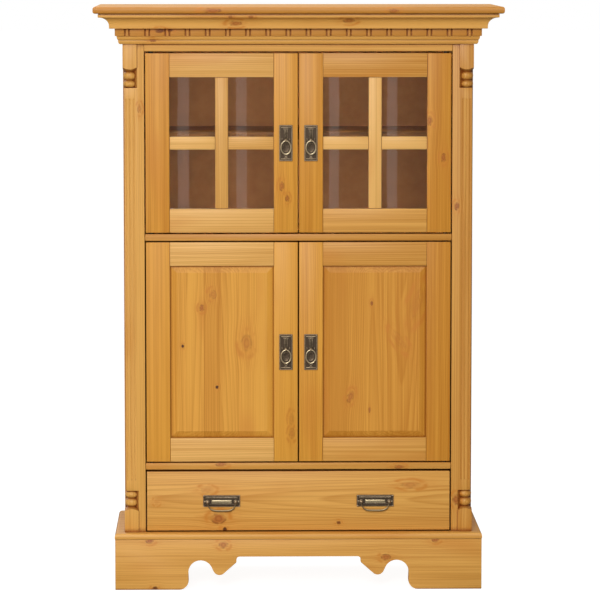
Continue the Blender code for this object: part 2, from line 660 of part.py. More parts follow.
def door_frame(label, side, bottom, top, tongue, axis):
    """Two stiles and two rails, with stub tenons in the groove that also holds the glass or the panel."""
    front, back = Y_FRONT, Y_FRONT + DOOR_THICKNESS
    layer = (front + GROOVE_MIDDLE - tongue / 2, front + GROOVE_MIDDLE + tongue / 2)
    slot = (layer[0] - FIT, layer[1] + FIT)
    stiles = {"hinge": (0.0, STILE_WIDTH), "lock": (DOOR_WIDTH, DOOR_WIDTH - STILE_WIDTH)}
    for kind, (outer, inner) in stiles.items():
        low_x, high_x = door_x(side, outer, inner)
        name = f"{label}_{kind}_stile"
        stile = board(name, (low_x, front, bottom), (high_x, back, top), PINE, axis)
        inward = 1 if inner > outer else -1
        groove_x = door_x(side, inner - inward * GROOVE_DEPTH, inner + inward * OUTSIDE)
        combine(stile, box_cutter(f"{name}_groove", ((groove_x[0], slot[0], bottom - OUTSIDE),
                                                     (groove_x[1], slot[1], top + OUTSIDE))))
        if kind == "hinge":
            combine(stile, pin_hole_cutter(f"{name}_low_hole", bottom - OUTSIDE, bottom + PIN_REACH))
            combine(stile, pin_hole_cutter(f"{name}_high_hole", top - PIN_REACH, top + OUTSIDE))
    shoulder = STILE_WIDTH + FIT
    tenon = STILE_WIDTH - GROOVE_DEPTH + FIT
    full_x = door_x(side, tenon, DOOR_WIDTH - tenon)
    rails = {"bottom": (bottom, bottom + STILE_WIDTH, 1), "top": (top - STILE_WIDTH, top, -1)}
    for kind, (low_z, high_z, inward) in rails.items():
        name = f"{label}_{kind}_rail"
        rail = board(name, (full_x[0], front, low_z), (full_x[1], back, high_z), PALE_PINE, axis)
        cheeks = []
        for near, far in ((tenon - OUTSIDE, shoulder), (DOOR_WIDTH - shoulder, DOOR_WIDTH - tenon + OUTSIDE)):
            cheek_x = door_x(side, near, far)
            for low_y, high_y in ((front - OUTSIDE, layer[0]), (layer[1], back + OUTSIDE)):
                cheeks.append(((cheek_x[0], low_y, low_z - OUTSIDE), (cheek_x[1], high_y, high_z + OUTSIDE)))
        combine(rail, box_cutter(f"{name}_tenons", *cheeks))
        edge = high_z if inward > 0 else low_z
        groove_z = sorted((edge - inward * GROOVE_DEPTH, edge + inward * OUTSIDE))
        combine(rail, box_cutter(f"{name}_groove", ((full_x[0] - OUTSIDE, slot[0], groove_z[0]),
                                                    (full_x[1] + OUTSIDE, slot[1], groove_z[1]))))


def glazing(label, side, bottom, top, axis):
    """A pane in the frame's groove, and a cross of glazing bars in front of it."""
    hidden = STILE_WIDTH - GROOVE_DEPTH + FIT
    pane_x = door_x(side, hidden, DOOR_WIDTH - hidden)
    pane_front = Y_FRONT + GROOVE_MIDDLE - GLASS_THICKNESS / 2
    board(f"{label}_glass", (pane_x[0], pane_front, bottom + hidden),
          (pane_x[1], pane_front + GLASS_THICKNESS, top - hidden), GLASS, axis)
    open_x = door_x(side, STILE_WIDTH + FIT, DOOR_WIDTH - STILE_WIDTH - FIT)
    low_z, high_z = bottom + STILE_WIDTH + FIT, top - STILE_WIDTH - FIT
    mid_x, mid_z, half = sum(open_x) / 2, (low_z + high_z) / 2, BAR_WIDTH / 2
    bar_x = (mid_x - half, mid_x + half)
    bar_z = (mid_z - half, mid_z + half)
    cross = [(bar_x[0], low_z), (bar_x[1], low_z), (bar_x[1], bar_z[0]), (open_x[1], bar_z[0]),
             (open_x[1], bar_z[1]), (bar_x[1], bar_z[1]), (bar_x[1], high_z), (bar_x[0], high_z),
             (bar_x[0], bar_z[1]), (open_x[0], bar_z[1]), (open_x[0], bar_z[0]), (bar_x[0], bar_z[0])]
    middle = Vector((mid_x, Y_FRONT, mid_z))
    bars = outline_solid(cross, FIT - pane_front, -Y_FRONT - BAR_SETBACK, FRONT_PLANE)
    bars.transform(Matrix.Translation(-middle))
    add_part(f"{label}_glazing_bars", mesh_from("glazing_bars", bars), middle, PALE_PINE, axis)


def raised_panel(label, side, bottom, top, axis):
    """A floating panel: a tongue in the frame's groove, a sloping margin and a raised field."""
    hidden = STILE_WIDTH - GROOVE_DEPTH + FIT
    low_x, high_x = door_x(side, hidden, DOOR_WIDTH - hidden)
    tongue_front = Y_FRONT + GROOVE_MIDDLE - PANEL_TONGUE / 2
    low = Vector((low_x, tongue_front, bottom + hidden))
    high = Vector((high_x, tongue_front + PANEL_TONGUE, top - hidden))
    middle = (low + high) / 2
    bm = bmesh.new()
    add_box(bm, low - middle, high - middle)
    bm.normal_update()
    field = [face for face in bm.faces if face.normal.y < -0.9]
    step_inward(bm, field, GROOVE_DEPTH)
    step_inward(bm, field, PANEL_BEVEL, tongue_front - Y_FRONT - PANEL_SETBACK)
    add_part(f"{label}_panel", mesh_from("raised_panel", bm), middle, PANEL_PINE, axis)


def handle_plate(name, centre_x, centre_z, size, lugs_x, lug_z, relief, axis):
    """A backplate with a raised rim, some raised relief and the eyes of its ring or bail."""
    back = Y_FRONT - FIT
    middle = Vector((centre_x, back - PLATE_THICKNESS / 2, centre_z))
    half = Vector((size[0] / 2, PLATE_THICKNESS / 2, size[1] / 2))
    bm = bmesh.new()
    add_box(bm, -half, half)
    bm.normal_update()
    face = [face for face in bm.faces if face.normal.y < -0.9]
    step_inward(bm, face, PLATE_RIM)
    step_inward(bm, face, PLATE_RECESS, -PLATE_RECESS)
    plate = add_part(name, mesh_from(name, bm), middle, BRONZE, axis)
    rise, relief_size = relief
    front = back - PLATE_THICKNESS
    low = (centre_x - relief_size[0] / 2, front - RELIEF + PLATE_RECESS, centre_z + rise - relief_size[1] / 2)
    high = (centre_x + relief_size[0] / 2, front + PLATE_THICKNESS / 2, centre_z + rise + relief_size[1] / 2)
    combine(plate, box_cutter(f"{name}_relief", (low, high)), "UNION")
    lugs, eyes = bmesh.new(), bmesh.new()
    for x in lugs_x:
        place = (centre_x + x, Y_FRONT - LUG_FORWARD, lug_z)
        add_rod(lugs, place, LUG_RADIUS, LUG_WIDTH, ALONG_X)
        add_box(lugs, (place[0] - LUG_WIDTH / 3, place[1], lug_z - LUG_RADIUS / 2),
                (place[0] + LUG_WIDTH / 3, front + PLATE_THICKNESS / 2, lug_z + LUG_RADIUS / 2))
        add_rod(eyes, place, EYE_RADIUS, LUG_WIDTH + OUTSIDE / 4, ALONG_X)
    combine(plate, add_cutter(f"{name}_lugs", lugs), "UNION")
    plate.modifiers[-1].use_self = True
    combine(plate, add_cutter(f"{name}_eyes", eyes))


def door_handle(label, side, bottom, top, axis):
    """A plate on the lock stile, with an oval ring that hangs in its eye."""
    x = side * (DOOR_EDGE - DOOR_WIDTH + DOOR_PLATE_INSET)
    z = (bottom + top) / 2
    lug_z = z + DOOR_LUG_RISE
    rib_rise = DOOR_LUG_RISE + LUG_RADIUS + DOOR_RIB[1] / 2
    handle_plate(f"{label}_handle_plate", x, z, DOOR_PLATE, (0.0,), lug_z, (rib_rise, DOOR_RIB), axis)
    pivot = (x, Y_FRONT - LUG_FORWARD, lug_z)
    swing = joint_axis(f"{label}_ring_axis", pivot, axis)
    oval = [(RING_SIZE[0] / 2 * math.sin(math.tau * step / RING_STEPS),
             RING_SIZE[1] / 2 * (math.cos(math.tau * step / RING_STEPS) - 1.0)) for step in range(RING_STEPS)]
    wire(f"{label}_handle_ring", oval, RING_WIRE, pivot, BRASS, swing, closed=True)


def doors():
    """The four doors, each on an empty at its pivots."""
    levels = {"lower": (Z_LOWER + DOOR_GAP, Z_MIDDLE_DIVIDER - DOOR_GAP),
              "upper": (Z_UPPER + DOOR_GAP, Z_TOP_PANEL - UPPER_HEADROOM)}
    for level, (bottom, top) in levels.items():
        for hand, side in SIDES.items():
            label = f"{hand}_{level}_door"
            axis = joint_axis(f"{label}_hinge", (side * PIVOT_X, PIVOT_Y, bottom))
            if level == "upper":
                door_frame(label, side, bottom, top, GLASS_THICKNESS, axis)
                glazing(label, side, bottom, top, axis)
            else:
                door_frame(label, side, bottom, top, PANEL_TONGUE, axis)
                raised_panel(label, side, bottom, top, axis)
            door_handle(label, side, bottom, top, axis)


def drawer():
    """A grooved box behind a plain front, carried by two wooden guides."""
    half = OPENING_HALF - DOOR_GAP
    bottom, top = Z_BASE_TOP + DOOR_GAP, Z_DRAWER_DIVIDER - DRAWER_HEADROOM
    front_back = Y_FRONT + DRAWER_FRONT_THICKNESS
    slide = joint_axis("drawer_slide", (0.0, Y_FRONT, (bottom + top) / 2))
    front = board("drawer_front", (-half, Y_FRONT, bottom), (half, front_back, top), PANEL_PINE, slide)
    outer = OPENING_HALF - DRAWER_SIDE_PLAY
    inner = outer - DRAWER_WALL
    side_low = Z_BASE_TOP + GUIDE_FLOOR + FIT
    side_high = side_low + DRAWER_SIDE_HEIGHT
    seat = front_back - DRAWER_JOINT
    rear = front_back + DRAWER_DEPTH
    floor_low = side_low + DRAWER_BOTTOM_RISE
    floor_high = floor_low + DRAWER_BOTTOM
    floor_edge = inner + DRAWER_JOINT
    sockets = []
    for label, side in SIDES.items():
        low_x, high_x = across(side, inner, outer)
        wall = board(f"drawer_{label}_side", (low_x, seat + FIT, side_low), (high_x, rear, side_high),
                     PINE, slide)
        groove_x = across(side, inner - OUTSIDE, floor_edge)
        combine(wall, box_cutter(f"drawer_{label}_groove", ((groove_x[0], seat - OUTSIDE, floor_low - FIT),
                                                            (groove_x[1], rear + OUTSIDE, floor_high + FIT))))
        sockets.append(((low_x - FIT, seat, side_low - FIT),
                        (high_x + FIT, front_back + OUTSIDE, side_high + FIT)))
        wall_x = outer + 2 * FIT
        ledge_x = outer - GUIDE_LEDGE
        shelf_z = Z_BASE_TOP + GUIDE_FLOOR
        guide = [(SIDE_INNER - FIT, Z_BASE_TOP + FIT), (SIDE_INNER - FIT, Z_BASE_TOP + GUIDE_HEIGHT),
                 (wall_x, Z_BASE_TOP + GUIDE_HEIGHT), (wall_x, shelf_z), (ledge_x, shelf_z),
                 (ledge_x, Z_BASE_TOP + FIT)]
        guide = [(side * x, z) for x, z in guide]
        strip = outline_solid(guide, -(Y_BACK_PANEL - FIT), -(Y_POST_BACK + FIT), FRONT_PLANE)
        add_part(f"{label}_drawer_guide", mesh_from("drawer_guide", strip), (0.0, 0.0, 0.0), PINE)
    combine(front, box_cutter("drawer_front_sockets", *sockets))
    combine(front, box_cutter("drawer_front_groove", ((FIT - inner, seat, floor_low - FIT),
                                                      (inner - FIT, front_back + OUTSIDE, floor_high + FIT))))
    board("drawer_back", (FIT - inner, rear - DRAWER_WALL, floor_high + FIT),
          (inner - FIT, rear, side_high - DRAWER_BACK_DROP), PINE, slide)
    floor = board("drawer_bottom", (FIT - floor_edge, seat + FIT, floor_low),
                  (floor_edge - FIT, rear, floor_high), PANEL_PINE, slide)
    ears = []
    for side in SIDES.values():
        ear_x = across(side, inner - 2 * FIT, floor_edge + OUTSIDE)
        ears.append(((ear_x[0], seat - OUTSIDE, floor_low - OUTSIDE),
                     (ear_x[1], front_back + FIT, floor_high + OUTSIDE)))
    combine(floor, box_cutter("drawer_bottom_ears", *ears))
    drawer_handles((bottom + top) / 2, slide)


def drawer_handles(z, slide):
    """Two plates on the drawer front, each with a bail that hangs between two eyes."""
    lug_z = z + DRAWER_LUG_RISE
    end = DRAWER_LUG_SPREAD + LUG_WIDTH / 2
    half = [(end, 0.0)]
    half += arc((BAIL_SHOULDER + BAIL_BEND, -BAIL_BEND), BAIL_BEND, 90, 180, ARC_STEPS // 2)
    steps = 2 * ARC_STEPS
    for step in range(1, steps + 1):
        angle = math.pi / 2 * step / steps
        half.append((BAIL_SHOULDER * math.cos(angle), -BAIL_BEND - (BAIL_DROP - BAIL_BEND) * math.sin(angle)))
    shape = half[:-1] + [(0.0, -BAIL_DROP)] + [(-x, height) for x, height in reversed(half[:-1])]
    for label, side in SIDES.items():
        x = side * DRAWER_PLATE_X
        lugs_x = (-DRAWER_LUG_SPREAD, DRAWER_LUG_SPREAD)
        relief = (DRAWER_LUG_RISE, DRAWER_WINDOW)
        handle_plate(f"{label}_drawer_plate", x, z, DRAWER_PLATE, lugs_x, lug_z, relief, slide)
        pivot = (x, Y_FRONT - LUG_FORWARD, lug_z)
        swing = joint_axis(f"{label}_bail_axis", pivot, slide)
        wire(f"{label}_drawer_bail", shape, BAIL_WIRE, pivot, BRASS, swing, closed=False)


plinth()
carcass()
for post_label, post_side in SIDES.items():
    corner_post(post_label, post_side)
crown()
pivot_pins()
doors()
drawer()
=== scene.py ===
"""Looks of the pine display cabinet: stained knotty pine, brown backing, clear glass and antique metal.

Metres, +Z up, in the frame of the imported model. The front faces -Y.
"""
import math
import random

import bmesh
import bpy
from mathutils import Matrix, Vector


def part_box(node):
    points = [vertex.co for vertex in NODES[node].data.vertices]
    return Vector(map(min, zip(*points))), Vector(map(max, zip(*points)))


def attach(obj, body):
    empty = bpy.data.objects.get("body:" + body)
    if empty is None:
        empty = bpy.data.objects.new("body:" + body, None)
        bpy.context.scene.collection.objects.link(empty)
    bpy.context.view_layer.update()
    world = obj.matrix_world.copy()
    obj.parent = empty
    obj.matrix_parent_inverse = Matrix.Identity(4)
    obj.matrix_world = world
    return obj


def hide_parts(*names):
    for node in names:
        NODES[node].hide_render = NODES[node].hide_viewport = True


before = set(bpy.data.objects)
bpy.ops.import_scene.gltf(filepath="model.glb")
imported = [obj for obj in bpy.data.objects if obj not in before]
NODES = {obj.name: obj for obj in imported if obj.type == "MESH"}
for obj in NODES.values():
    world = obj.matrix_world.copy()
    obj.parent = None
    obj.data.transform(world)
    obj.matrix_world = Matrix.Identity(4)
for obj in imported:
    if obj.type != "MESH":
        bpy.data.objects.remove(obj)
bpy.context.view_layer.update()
HANDS = ("left", "right")
LEVELS = ("upper", "lower")
SIDES = (-1, 1)
AXES = "xyz"

# Camera: the photograph's viewing angle, from farther off and without lens shift
LENS = 211.7
CAMERA_PLACE = (-0.175, -9.139, 1.65)
CAMERA_TILT = math.radians(5.726)
CAMERA_TURN = math.radians(1.140)

# Places that the looks follow
BODY_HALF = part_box("right_corner_post")[1].x
STILE_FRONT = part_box("left_lower_door_hinge_stile")[0].y
SHELF_HALF = (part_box("upper_shelf")[1].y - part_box("upper_shelf")[0].y) / 2

# Eased edges of the boards
EDGE_RADIUS = 0.0014
POST_EDGE_RADIUS = 0.0006
DIVIDER_EDGE_RADIUS = 0.0030
EDGE_SHORTEST = 0.012
EDGE_SEGMENTS = 2
SHARP_ANGLE = math.radians(38)
CRISP_ANGLE = math.radians(12)
FLAT_ANGLE = math.radians(0.2)
WELD_REACH = 0.00001

# Pine: colour of the early wood and of the late wood, linear, and how far the grain wanders
TONES = {
    "honey": ((0.730, 0.375, 0.080), (0.520, 0.215, 0.027)),
    "pale": ((0.800, 0.450, 0.130), (0.600, 0.285, 0.055)),
    "warm": ((0.710, 0.325, 0.038), (0.505, 0.185, 0.010)),
    "panel": ((0.725, 0.340, 0.044), (0.525, 0.200, 0.013)),
    # brown: pine painted dark for the shade inside the cupboard, used on the shelf
    "brown": ((0.285, 0.112, 0.020), (0.085, 0.028, 0.005)),
}
WANDER = {"honey": 0.4, "pale": 0.35, "warm": 0.4, "panel": 0.35, "brown": 0.7}
WANDER_REACH = 0.008
SEEDS = (0.0, 50.0)
STRIP_WIDTH = 0.078
PANEL_STRIP_WIDTH = 0.0455
SIDE_DEPTH_SHARE = 0.5

# Growth rings about the log's pith, which lies off the board's face, and aside of a narrow board
RING_WIDTHS = (0.0026, 0.0038)
PITH_ASIDE = 0.11
PITH_SPREAD = 0.30
NARROW_PITH_SPREAD = 0.08
PITH_DEPTH = 0.07
PITH_DEPTH_SPREAD = 0.10
TAPER_ACROSS = 0.07
TAPER_DEPTH = 0.10
RING_UNEVEN = 3.0
RING_UNEVEN_SCALE = 60.0
RING_UNEVEN_APART = 9.0
LATE_CURVE = 2.2
LATE_END = (0.86, 1.0)

# Figure of the wood as noise: scale along the grain and across it, per metre, detail, roughness and how far
# apart a board's strips lie in it
FIGURE = {
    "wander": (2.2, 7.0, 2.0, 0.5, 0.0),
    "fibre": (6.0, 760.0, 3.0, 0.6, 0.0),
    "streak": (1.3, 160.0, 3.0, 0.6, 31.0),
    "band": (0.9, 32.0, 1.0, 0.5, 23.0),
    "patch": (4.0, 12.0, 1.0, 0.5, 17.0),
}

# What each of these adds to the share of the late wood's colour
LATE_SHARE = 0.65
FIBRE_SHARE = 0.7
STREAK_SHARE = 1.8
BAND_SHARE = 0.7
BOARD_SHARE = 0.65
STRIP_SHARE = 0.95
LEAST_SHARE = 0.22

# Lacquer. Here and below, a bump has a height and a strength
ROUGHNESS = 0.36
FIBRE_ROUGHNESS = 0.16
SPECULAR = 0.35
DULL_SPECULAR = 0.10
GRAIN_BUMP = (0.00012, 0.5)
LATE_RELIEF = 0.5
FIBRE_RELIEF = 0.7

# Orange patches, and knots: colours, how deep they go behind the front and how their darkness counts
ORANGE_PATCH = (0.570, 0.200, 0.020)
PATCHES = (0.55, 0.80)
PATCH_SHARE = 0.45
KNOT_STAINS = {
    "halo": ORANGE_PATCH,
    "red": (0.450, 0.130, 0.018),
    "brown": (0.230, 0.055, 0.004),
    "dark": (0.060, 0.016, 0.004),
}
KNOT_DEPTH = (0.012, 0.040)
KNOT_GAIN = 3.0
PUSH_GAIN = 5.0
HALO_SHARE = 0.55
CRESCENT_SHARE = 0.85
RED_SHARE = (0.65, 0.35)
BROWN_SHARE = (0.75, 0.20)
DARK_RIM_SHARE = 0.5
DARK_CORE_SHARE = 0.95
DARK_CURVE = 3

# Shape of a knot, in radii from its middle. A hoop has a distance and a sharpness, a noise its two scales and
# the step of its seed
KNOT_NOISE = {
    "uneven": (1.1, 1.1, 900.0),
    "ragged": (4.0, 4.0, 700.0),
    "part": (0.9, 0.9, 1300.0),
    "feather": (0.7, 2.4, 500.0),
}
KNOT_MIDDLE = 0.001
KNOT_UNEVEN = 0.7
KNOT_RAGGED = 0.25
KNOT_PARTS = (0.40, 0.60)
KNOT_FEATHER = (0.30, 0.68)
KNOT_CORE = (0.60, 1.05)
KNOT_RIM = (1.0, 5.0)
KNOT_RIM_LEAST = 0.2
KNOT_INNER_RING = (0.45, 6.0)
KNOT_INNER_SHARE = 0.5
KNOT_CRESCENT = (1.9, 2.4)
PUSH_FADE = (0.42, 0.30)
PUSH_SOFTNESS = 0.35
PUSH_SHARE = 0.9
HALO_FADE = (0.30, 0.50)

# Darker brown on end grain, partly the stain it takes and partly painted shade; painted shade in crevices;
# and the top darker along its front edge
END_GRAIN_STAIN_AND_SHADE = (0.330, 0.125, 0.014)
END_GRAIN = (0.12, 0.85)
END_GRAIN_SHARE = 0.75
PANEL_END_GRAIN_SHARE = 0.40
CREVICE_SHADE_BROWN = (0.290, 0.085, 0.010)
CARVED_SHADE_BROWN = (0.230, 0.052, 0.006)
CREVICE_REACH = 0.008
POST_CREVICE_REACH = 0.014
CREVICE_SAMPLES = 6
CREVICE_SHADE_SHARE = 0.90
PANEL_CREVICE_SHADE_SHARE = 0.65
SHUT_IN = (0.12, 0.52)
SHUT_IN_CARVED = (0.10, 0.52)
TOP_EDGE = (0.006, 0.016)

# Bands across a board's face, darker or paler: the dentils darker, partly stain and partly painted shadow
# under the cove;
# the shelf's front edge darker as painted shade; the cove paler as painted light; the right post's bands from
# its stain.
# Each band's two borders across the board, from its middle, and how much darker it is
SHELF_EDGE = 0.002
STAIN_AND_SHADE_BANDS = {
    "crown_moulding": ((-0.018, 0.001, 0.95), (0.001, 0.030, -0.30)),
    "upper_shelf": ((-SHELF_HALF - SHELF_EDGE, -SHELF_HALF + SHELF_EDGE, 0.75),),
    "right_corner_post": ((-0.030, -0.009, -0.10), (-0.008, 0.002, 0.25), (0.014, 0.024, 0.20)),
}
STAIN_AND_SHADE_EDGE = 0.0005

# Hardboard back. Here and below, a noise has a scale per metre, a detail and, for some, a roughness
BACKING_TONES = ((0.262, 0.100, 0.030), (0.408, 0.172, 0.060))
BACKING_LEAST = 0.25
BACKING_ROUGHNESS = 0.7
PAINTED_LIGHT_LEFTWARD = 0.5
MOTTLE_NOISE = (38.0, 4.0, 0.65)
MOTTLE = (0.30, 0.72)
MOTTLE_SHARE = 0.3
SPECK_NOISE = (900.0, 1.0)
SPECK_SHARE = 0.2
SPECK_ROUGHNESS = 0.2
SPECK_BUMP = (0.0001, 0.4)

# Panes
GLASS_TINT = (0.975, 0.985, 0.98, 1.0)
GLASS_IOR = 1.5
WAVE_NOISE = (7.0, 1.0)
WAVE_BUMP = (0.0004, 0.05)

# Metals: where wear starts, colour of the patina and of the rubbed metal, roughness and metallic value
BRONZE = (0.30, (0.078, 0.052, 0.032), (0.400, 0.300, 0.185), 0.46, 0.75)
BRASS = (0.10, (0.260, 0.190, 0.100), (0.620, 0.510, 0.320), 0.40, 0.85)
STEEL = (0.2, (0.045, 0.038, 0.032), (0.300, 0.290, 0.280), 0.42, 1.0)
WEAR_SOFTNESS = 0.6
RUBBED_GLOSS = 0.14
BLOTCH_NOISE = (260.0, 3.0, 0.6)
BLOTCH_WEAR = 0.7
BLOTCH_RELIEF = 0.7
SCRATCH_NOISE = (1500.0, 2.0)
SCRATCH_ROUGHNESS = 0.12
SCRATCH_RELIEF = 0.3
CAST_BUMP = (0.0001, 0.5)

# Handles
RING_SIZE = (0.025, 0.034)
RING_WIRE = 0.0016
RING_SWELL = 0.06
RING_WEAR = 0.75
PIVOT_OUT = 0.0085
BAIL_SPREAD = 0.036
BAIL_DROP = 0.0225
BAIL_SQUARENESS = 0.48
BAIL_WIRE = (0.0011, 0.0012)
BAIL_SWELL = (0.0014, 0.0005)
BAIL_SWELL_CURVE = 3
BAIL_WEAR = 0.05
DOOR_PLATE_HALF = (0.017, 0.046)
DRAWER_PLATE_HALF = (0.0475, 0.015)
DRAWER_LUG_RISE = -0.002
RING_STEPS = 40
BAIL_STEPS = 36
TUBE_STEPS = 12
DOME_STEPS = 14
DISH_STEPS = 24
CORNER_STEPS = 3
CORNER_MOST = 0.9

# Glazing bars and the nails of the back
BAR_WIDTH = 0.033
BAR_JOINT = 0.0003
NAILS_UP = 9
NAILS_ACROSS = 6
NAIL_INSET = 0.006
NAIL_STEPS = 10

# Room: strength of the world, and the directions between which it changes
WHITE = (1.0, 1.0, 1.0, 1.0)
SKY = 0.40
GROUND = 0.34
SKY_TURN = (-0.5, 0.5)
HAZE_LEFT = 2.20
HAZE_RIGHT = 0.30
HAZE_LEAST = 0.12
HAZE_SIDEWAYS = (-0.25, 0.20)
HAZE_UPWARD = (0.12, 0.50)
THROUGH_PANES = 6.80
PANES_BACKWARD = (-0.80, -0.45)

# Soft boxes: place, what they look at, size and watts
KEY_LIGHT = ((-1.2, -9.6, 4.4), (0.0, 0.0, 0.8), 3.0, 540.0)
TOP_LIGHT = ((0.0, 0.4, 4.5), (0.0, 0.4, 0.0), 2.5, 60.0)
SIDE_LIGHT = ((-1.5, -2.6, 0.5), (-0.2, 0.0, 0.6), 1.0, 14.0)

# Strip lights that the panes mirror: left and right edges
MIRRORED_STRIPS = ((-0.410, -0.359), (-0.147, -0.099), (0.272, 0.317), (0.534, 0.579))
STRIP_DISTANCE = 7.0
STRIP_RISE = 1.5
STRIP_LENGTH = 5.0
STRIP_WATTS = 0.50

# Floor
FLOOR_SIZE = 60.0
FLOOR_DROP = 0.0005
FLOOR_GREY = (0.25, 0.25, 0.25, 1.0)
FLOOR_ROUGHNESS = 0.9
FLOOR_GLOW = 0.92

# A Mix node's sockets for colours
MIX_COLOURS = (6, 7)
MIX_RESULT = 2


class Value:
    """A number that varies over a surface: a node socket that takes part in arithmetic."""

    def __init__(self, tree, socket):
        self.tree = tree
        self.socket = socket

    def math(self, operation, *others):
        node = self.tree.nodes.new("ShaderNodeMath")
        node.operation = operation
        feed_all(self.tree, node, self, *others)
        return Value(self.tree, node.outputs[0])

    def __add__(self, other):
        return self.math("ADD", other)

    def __sub__(self, other):
        return self.math("SUBTRACT", other)

    def __rsub__(self, other):
        return (self * -1.0).math("ADD", other)

    def __mul__(self, other):
        return self.math("MULTIPLY", other)

    def __truediv__(self, other):
        return self.math("DIVIDE", other)

    def __pow__(self, other):
        return self.math("POWER", other)

    def fading(self):
        """exp(-x * x): one at zero, and next to nothing past two."""
        return (self * self * -1.0).math("EXPONENT")

    def hoop(self, distance, sharpness):
        """One where this value is the distance, and next to nothing away from it."""
        return ((self - distance) * sharpness).fading()

    def held(self):
        """Kept between nought and one."""
        return self.math("MAXIMUM", 0.0).math("MINIMUM", 1.0)

    def ramp(self, low, high):
        """A smooth step from nought at low to one at high."""
        node = self.tree.nodes.new("ShaderNodeMapRange")
        node.interpolation_type = "SMOOTHSTEP"
        feed(self.tree, node.inputs["Value"], self)
        preset(node, {"From Min": low, "From Max": high})
        return Value(self.tree, node.outputs["Result"])

    def between(self, other, share):
        """This value where share is nought, and the other where it is one."""
        node = self.tree.nodes.new("ShaderNodeMix")
        feed(self.tree, node.inputs["Factor"], share)
        feed(self.tree, node.inputs["A"], self)
        feed(self.tree, node.inputs["B"], other)
        return Value(self.tree, node.outputs["Result"])


def feed(tree, slot, operand):
    """Link a value to a node's input, or set a plain number there."""
    if isinstance(operand, Value):
        tree.links.new(operand.socket, slot)
    else:
        slot.default_value = operand


def feed_all(tree, node, *operands):
    """Feed a node's inputs in their order."""
    for slot, operand in zip(node.inputs, operands):
        feed(tree, slot, operand)


def preset(node, values):
    """Set plain values at a node's named inputs."""
    for label, value in values.items():
        node.inputs[label].default_value = value


def values_of(tree, socket):
    """The three numbers of a vector socket."""
    node = tree.nodes.new("ShaderNodeSeparateXYZ")
    tree.links.new(socket, node.inputs[0])
    return [Value(tree, part) for part in node.outputs]


def noise(tree, parts, detail=2.0, roughness=0.5):
    """Smooth noise about a half, at a place that is already scaled."""
    place = tree.nodes.new("ShaderNodeCombineXYZ")
    feed_all(tree, place, *parts)
    node = tree.nodes.new("ShaderNodeTexNoise")
    tree.links.new(place.outputs[0], node.inputs["Vector"])
    preset(node, {"Scale": 1.0, "Detail": detail, "Roughness": roughness})
    return Value(tree, node.outputs["Fac"])


def random_three(tree, number):
    """Three random values that a number picks."""
    node = tree.nodes.new("ShaderNodeTexWhiteNoise")
    node.noise_dimensions = "1D"
    feed(tree, node.inputs["W"], number)
    return values_of(tree, node.outputs["Color"])


def blend(tree, share, under, over):
    """Two colours mixed by a share. A colour is a socket or three numbers."""
    node = tree.nodes.new("ShaderNodeMix")
    node.data_type = "RGBA"
    feed(tree, node.inputs[0], share)
    for index, colour in zip(MIX_COLOURS, (under, over)):
        if isinstance(colour, tuple):
            node.inputs[index].default_value = (*colour, 1.0)
        else:
            tree.links.new(colour, node.inputs[index])
    return node.outputs[MIX_RESULT]


def on_piece(tree, kind="Object"):
    """The place on the surface in the frame's metres, or its normal, as values that move with the piece."""
    texture = tree.nodes.new("ShaderNodeTexCoord")
    return dict(zip(AXES, values_of(tree, texture.outputs[kind])))


def speckle(tree, scale, detail, roughness=0.5):
    """Noise that is alike in all directions, at a scale per metre."""
    return noise(tree, [part * scale for part in on_piece(tree).values()], detail, roughness)


def new_material(name):
    """An empty node material and its shader."""
    material = bpy.data.materials.new(name)
    material.use_nodes = True
    return material, material.node_tree, material.node_tree.nodes["Principled BSDF"]


def bump(tree, shader, height, distance, strength):
    """Raise the surface by a height between nought and one, times a distance."""
    node = tree.nodes.new("ShaderNodeBump")
    preset(node, {"Strength": strength, "Distance": distance})
    feed(tree, node.inputs["Height"], height)
    tree.links.new(node.outputs["Normal"], shader.inputs["Normal"])


def crevice(tree, reach):
    """How far a place is shut in: nought in the open, one deep in a gap."""
    node = tree.nodes.new("ShaderNodeAmbientOcclusion")
    node.samples = CREVICE_SAMPLES
    node.inputs["Distance"].default_value = reach
    return 1.0 - Value(tree, node.outputs["AO"])


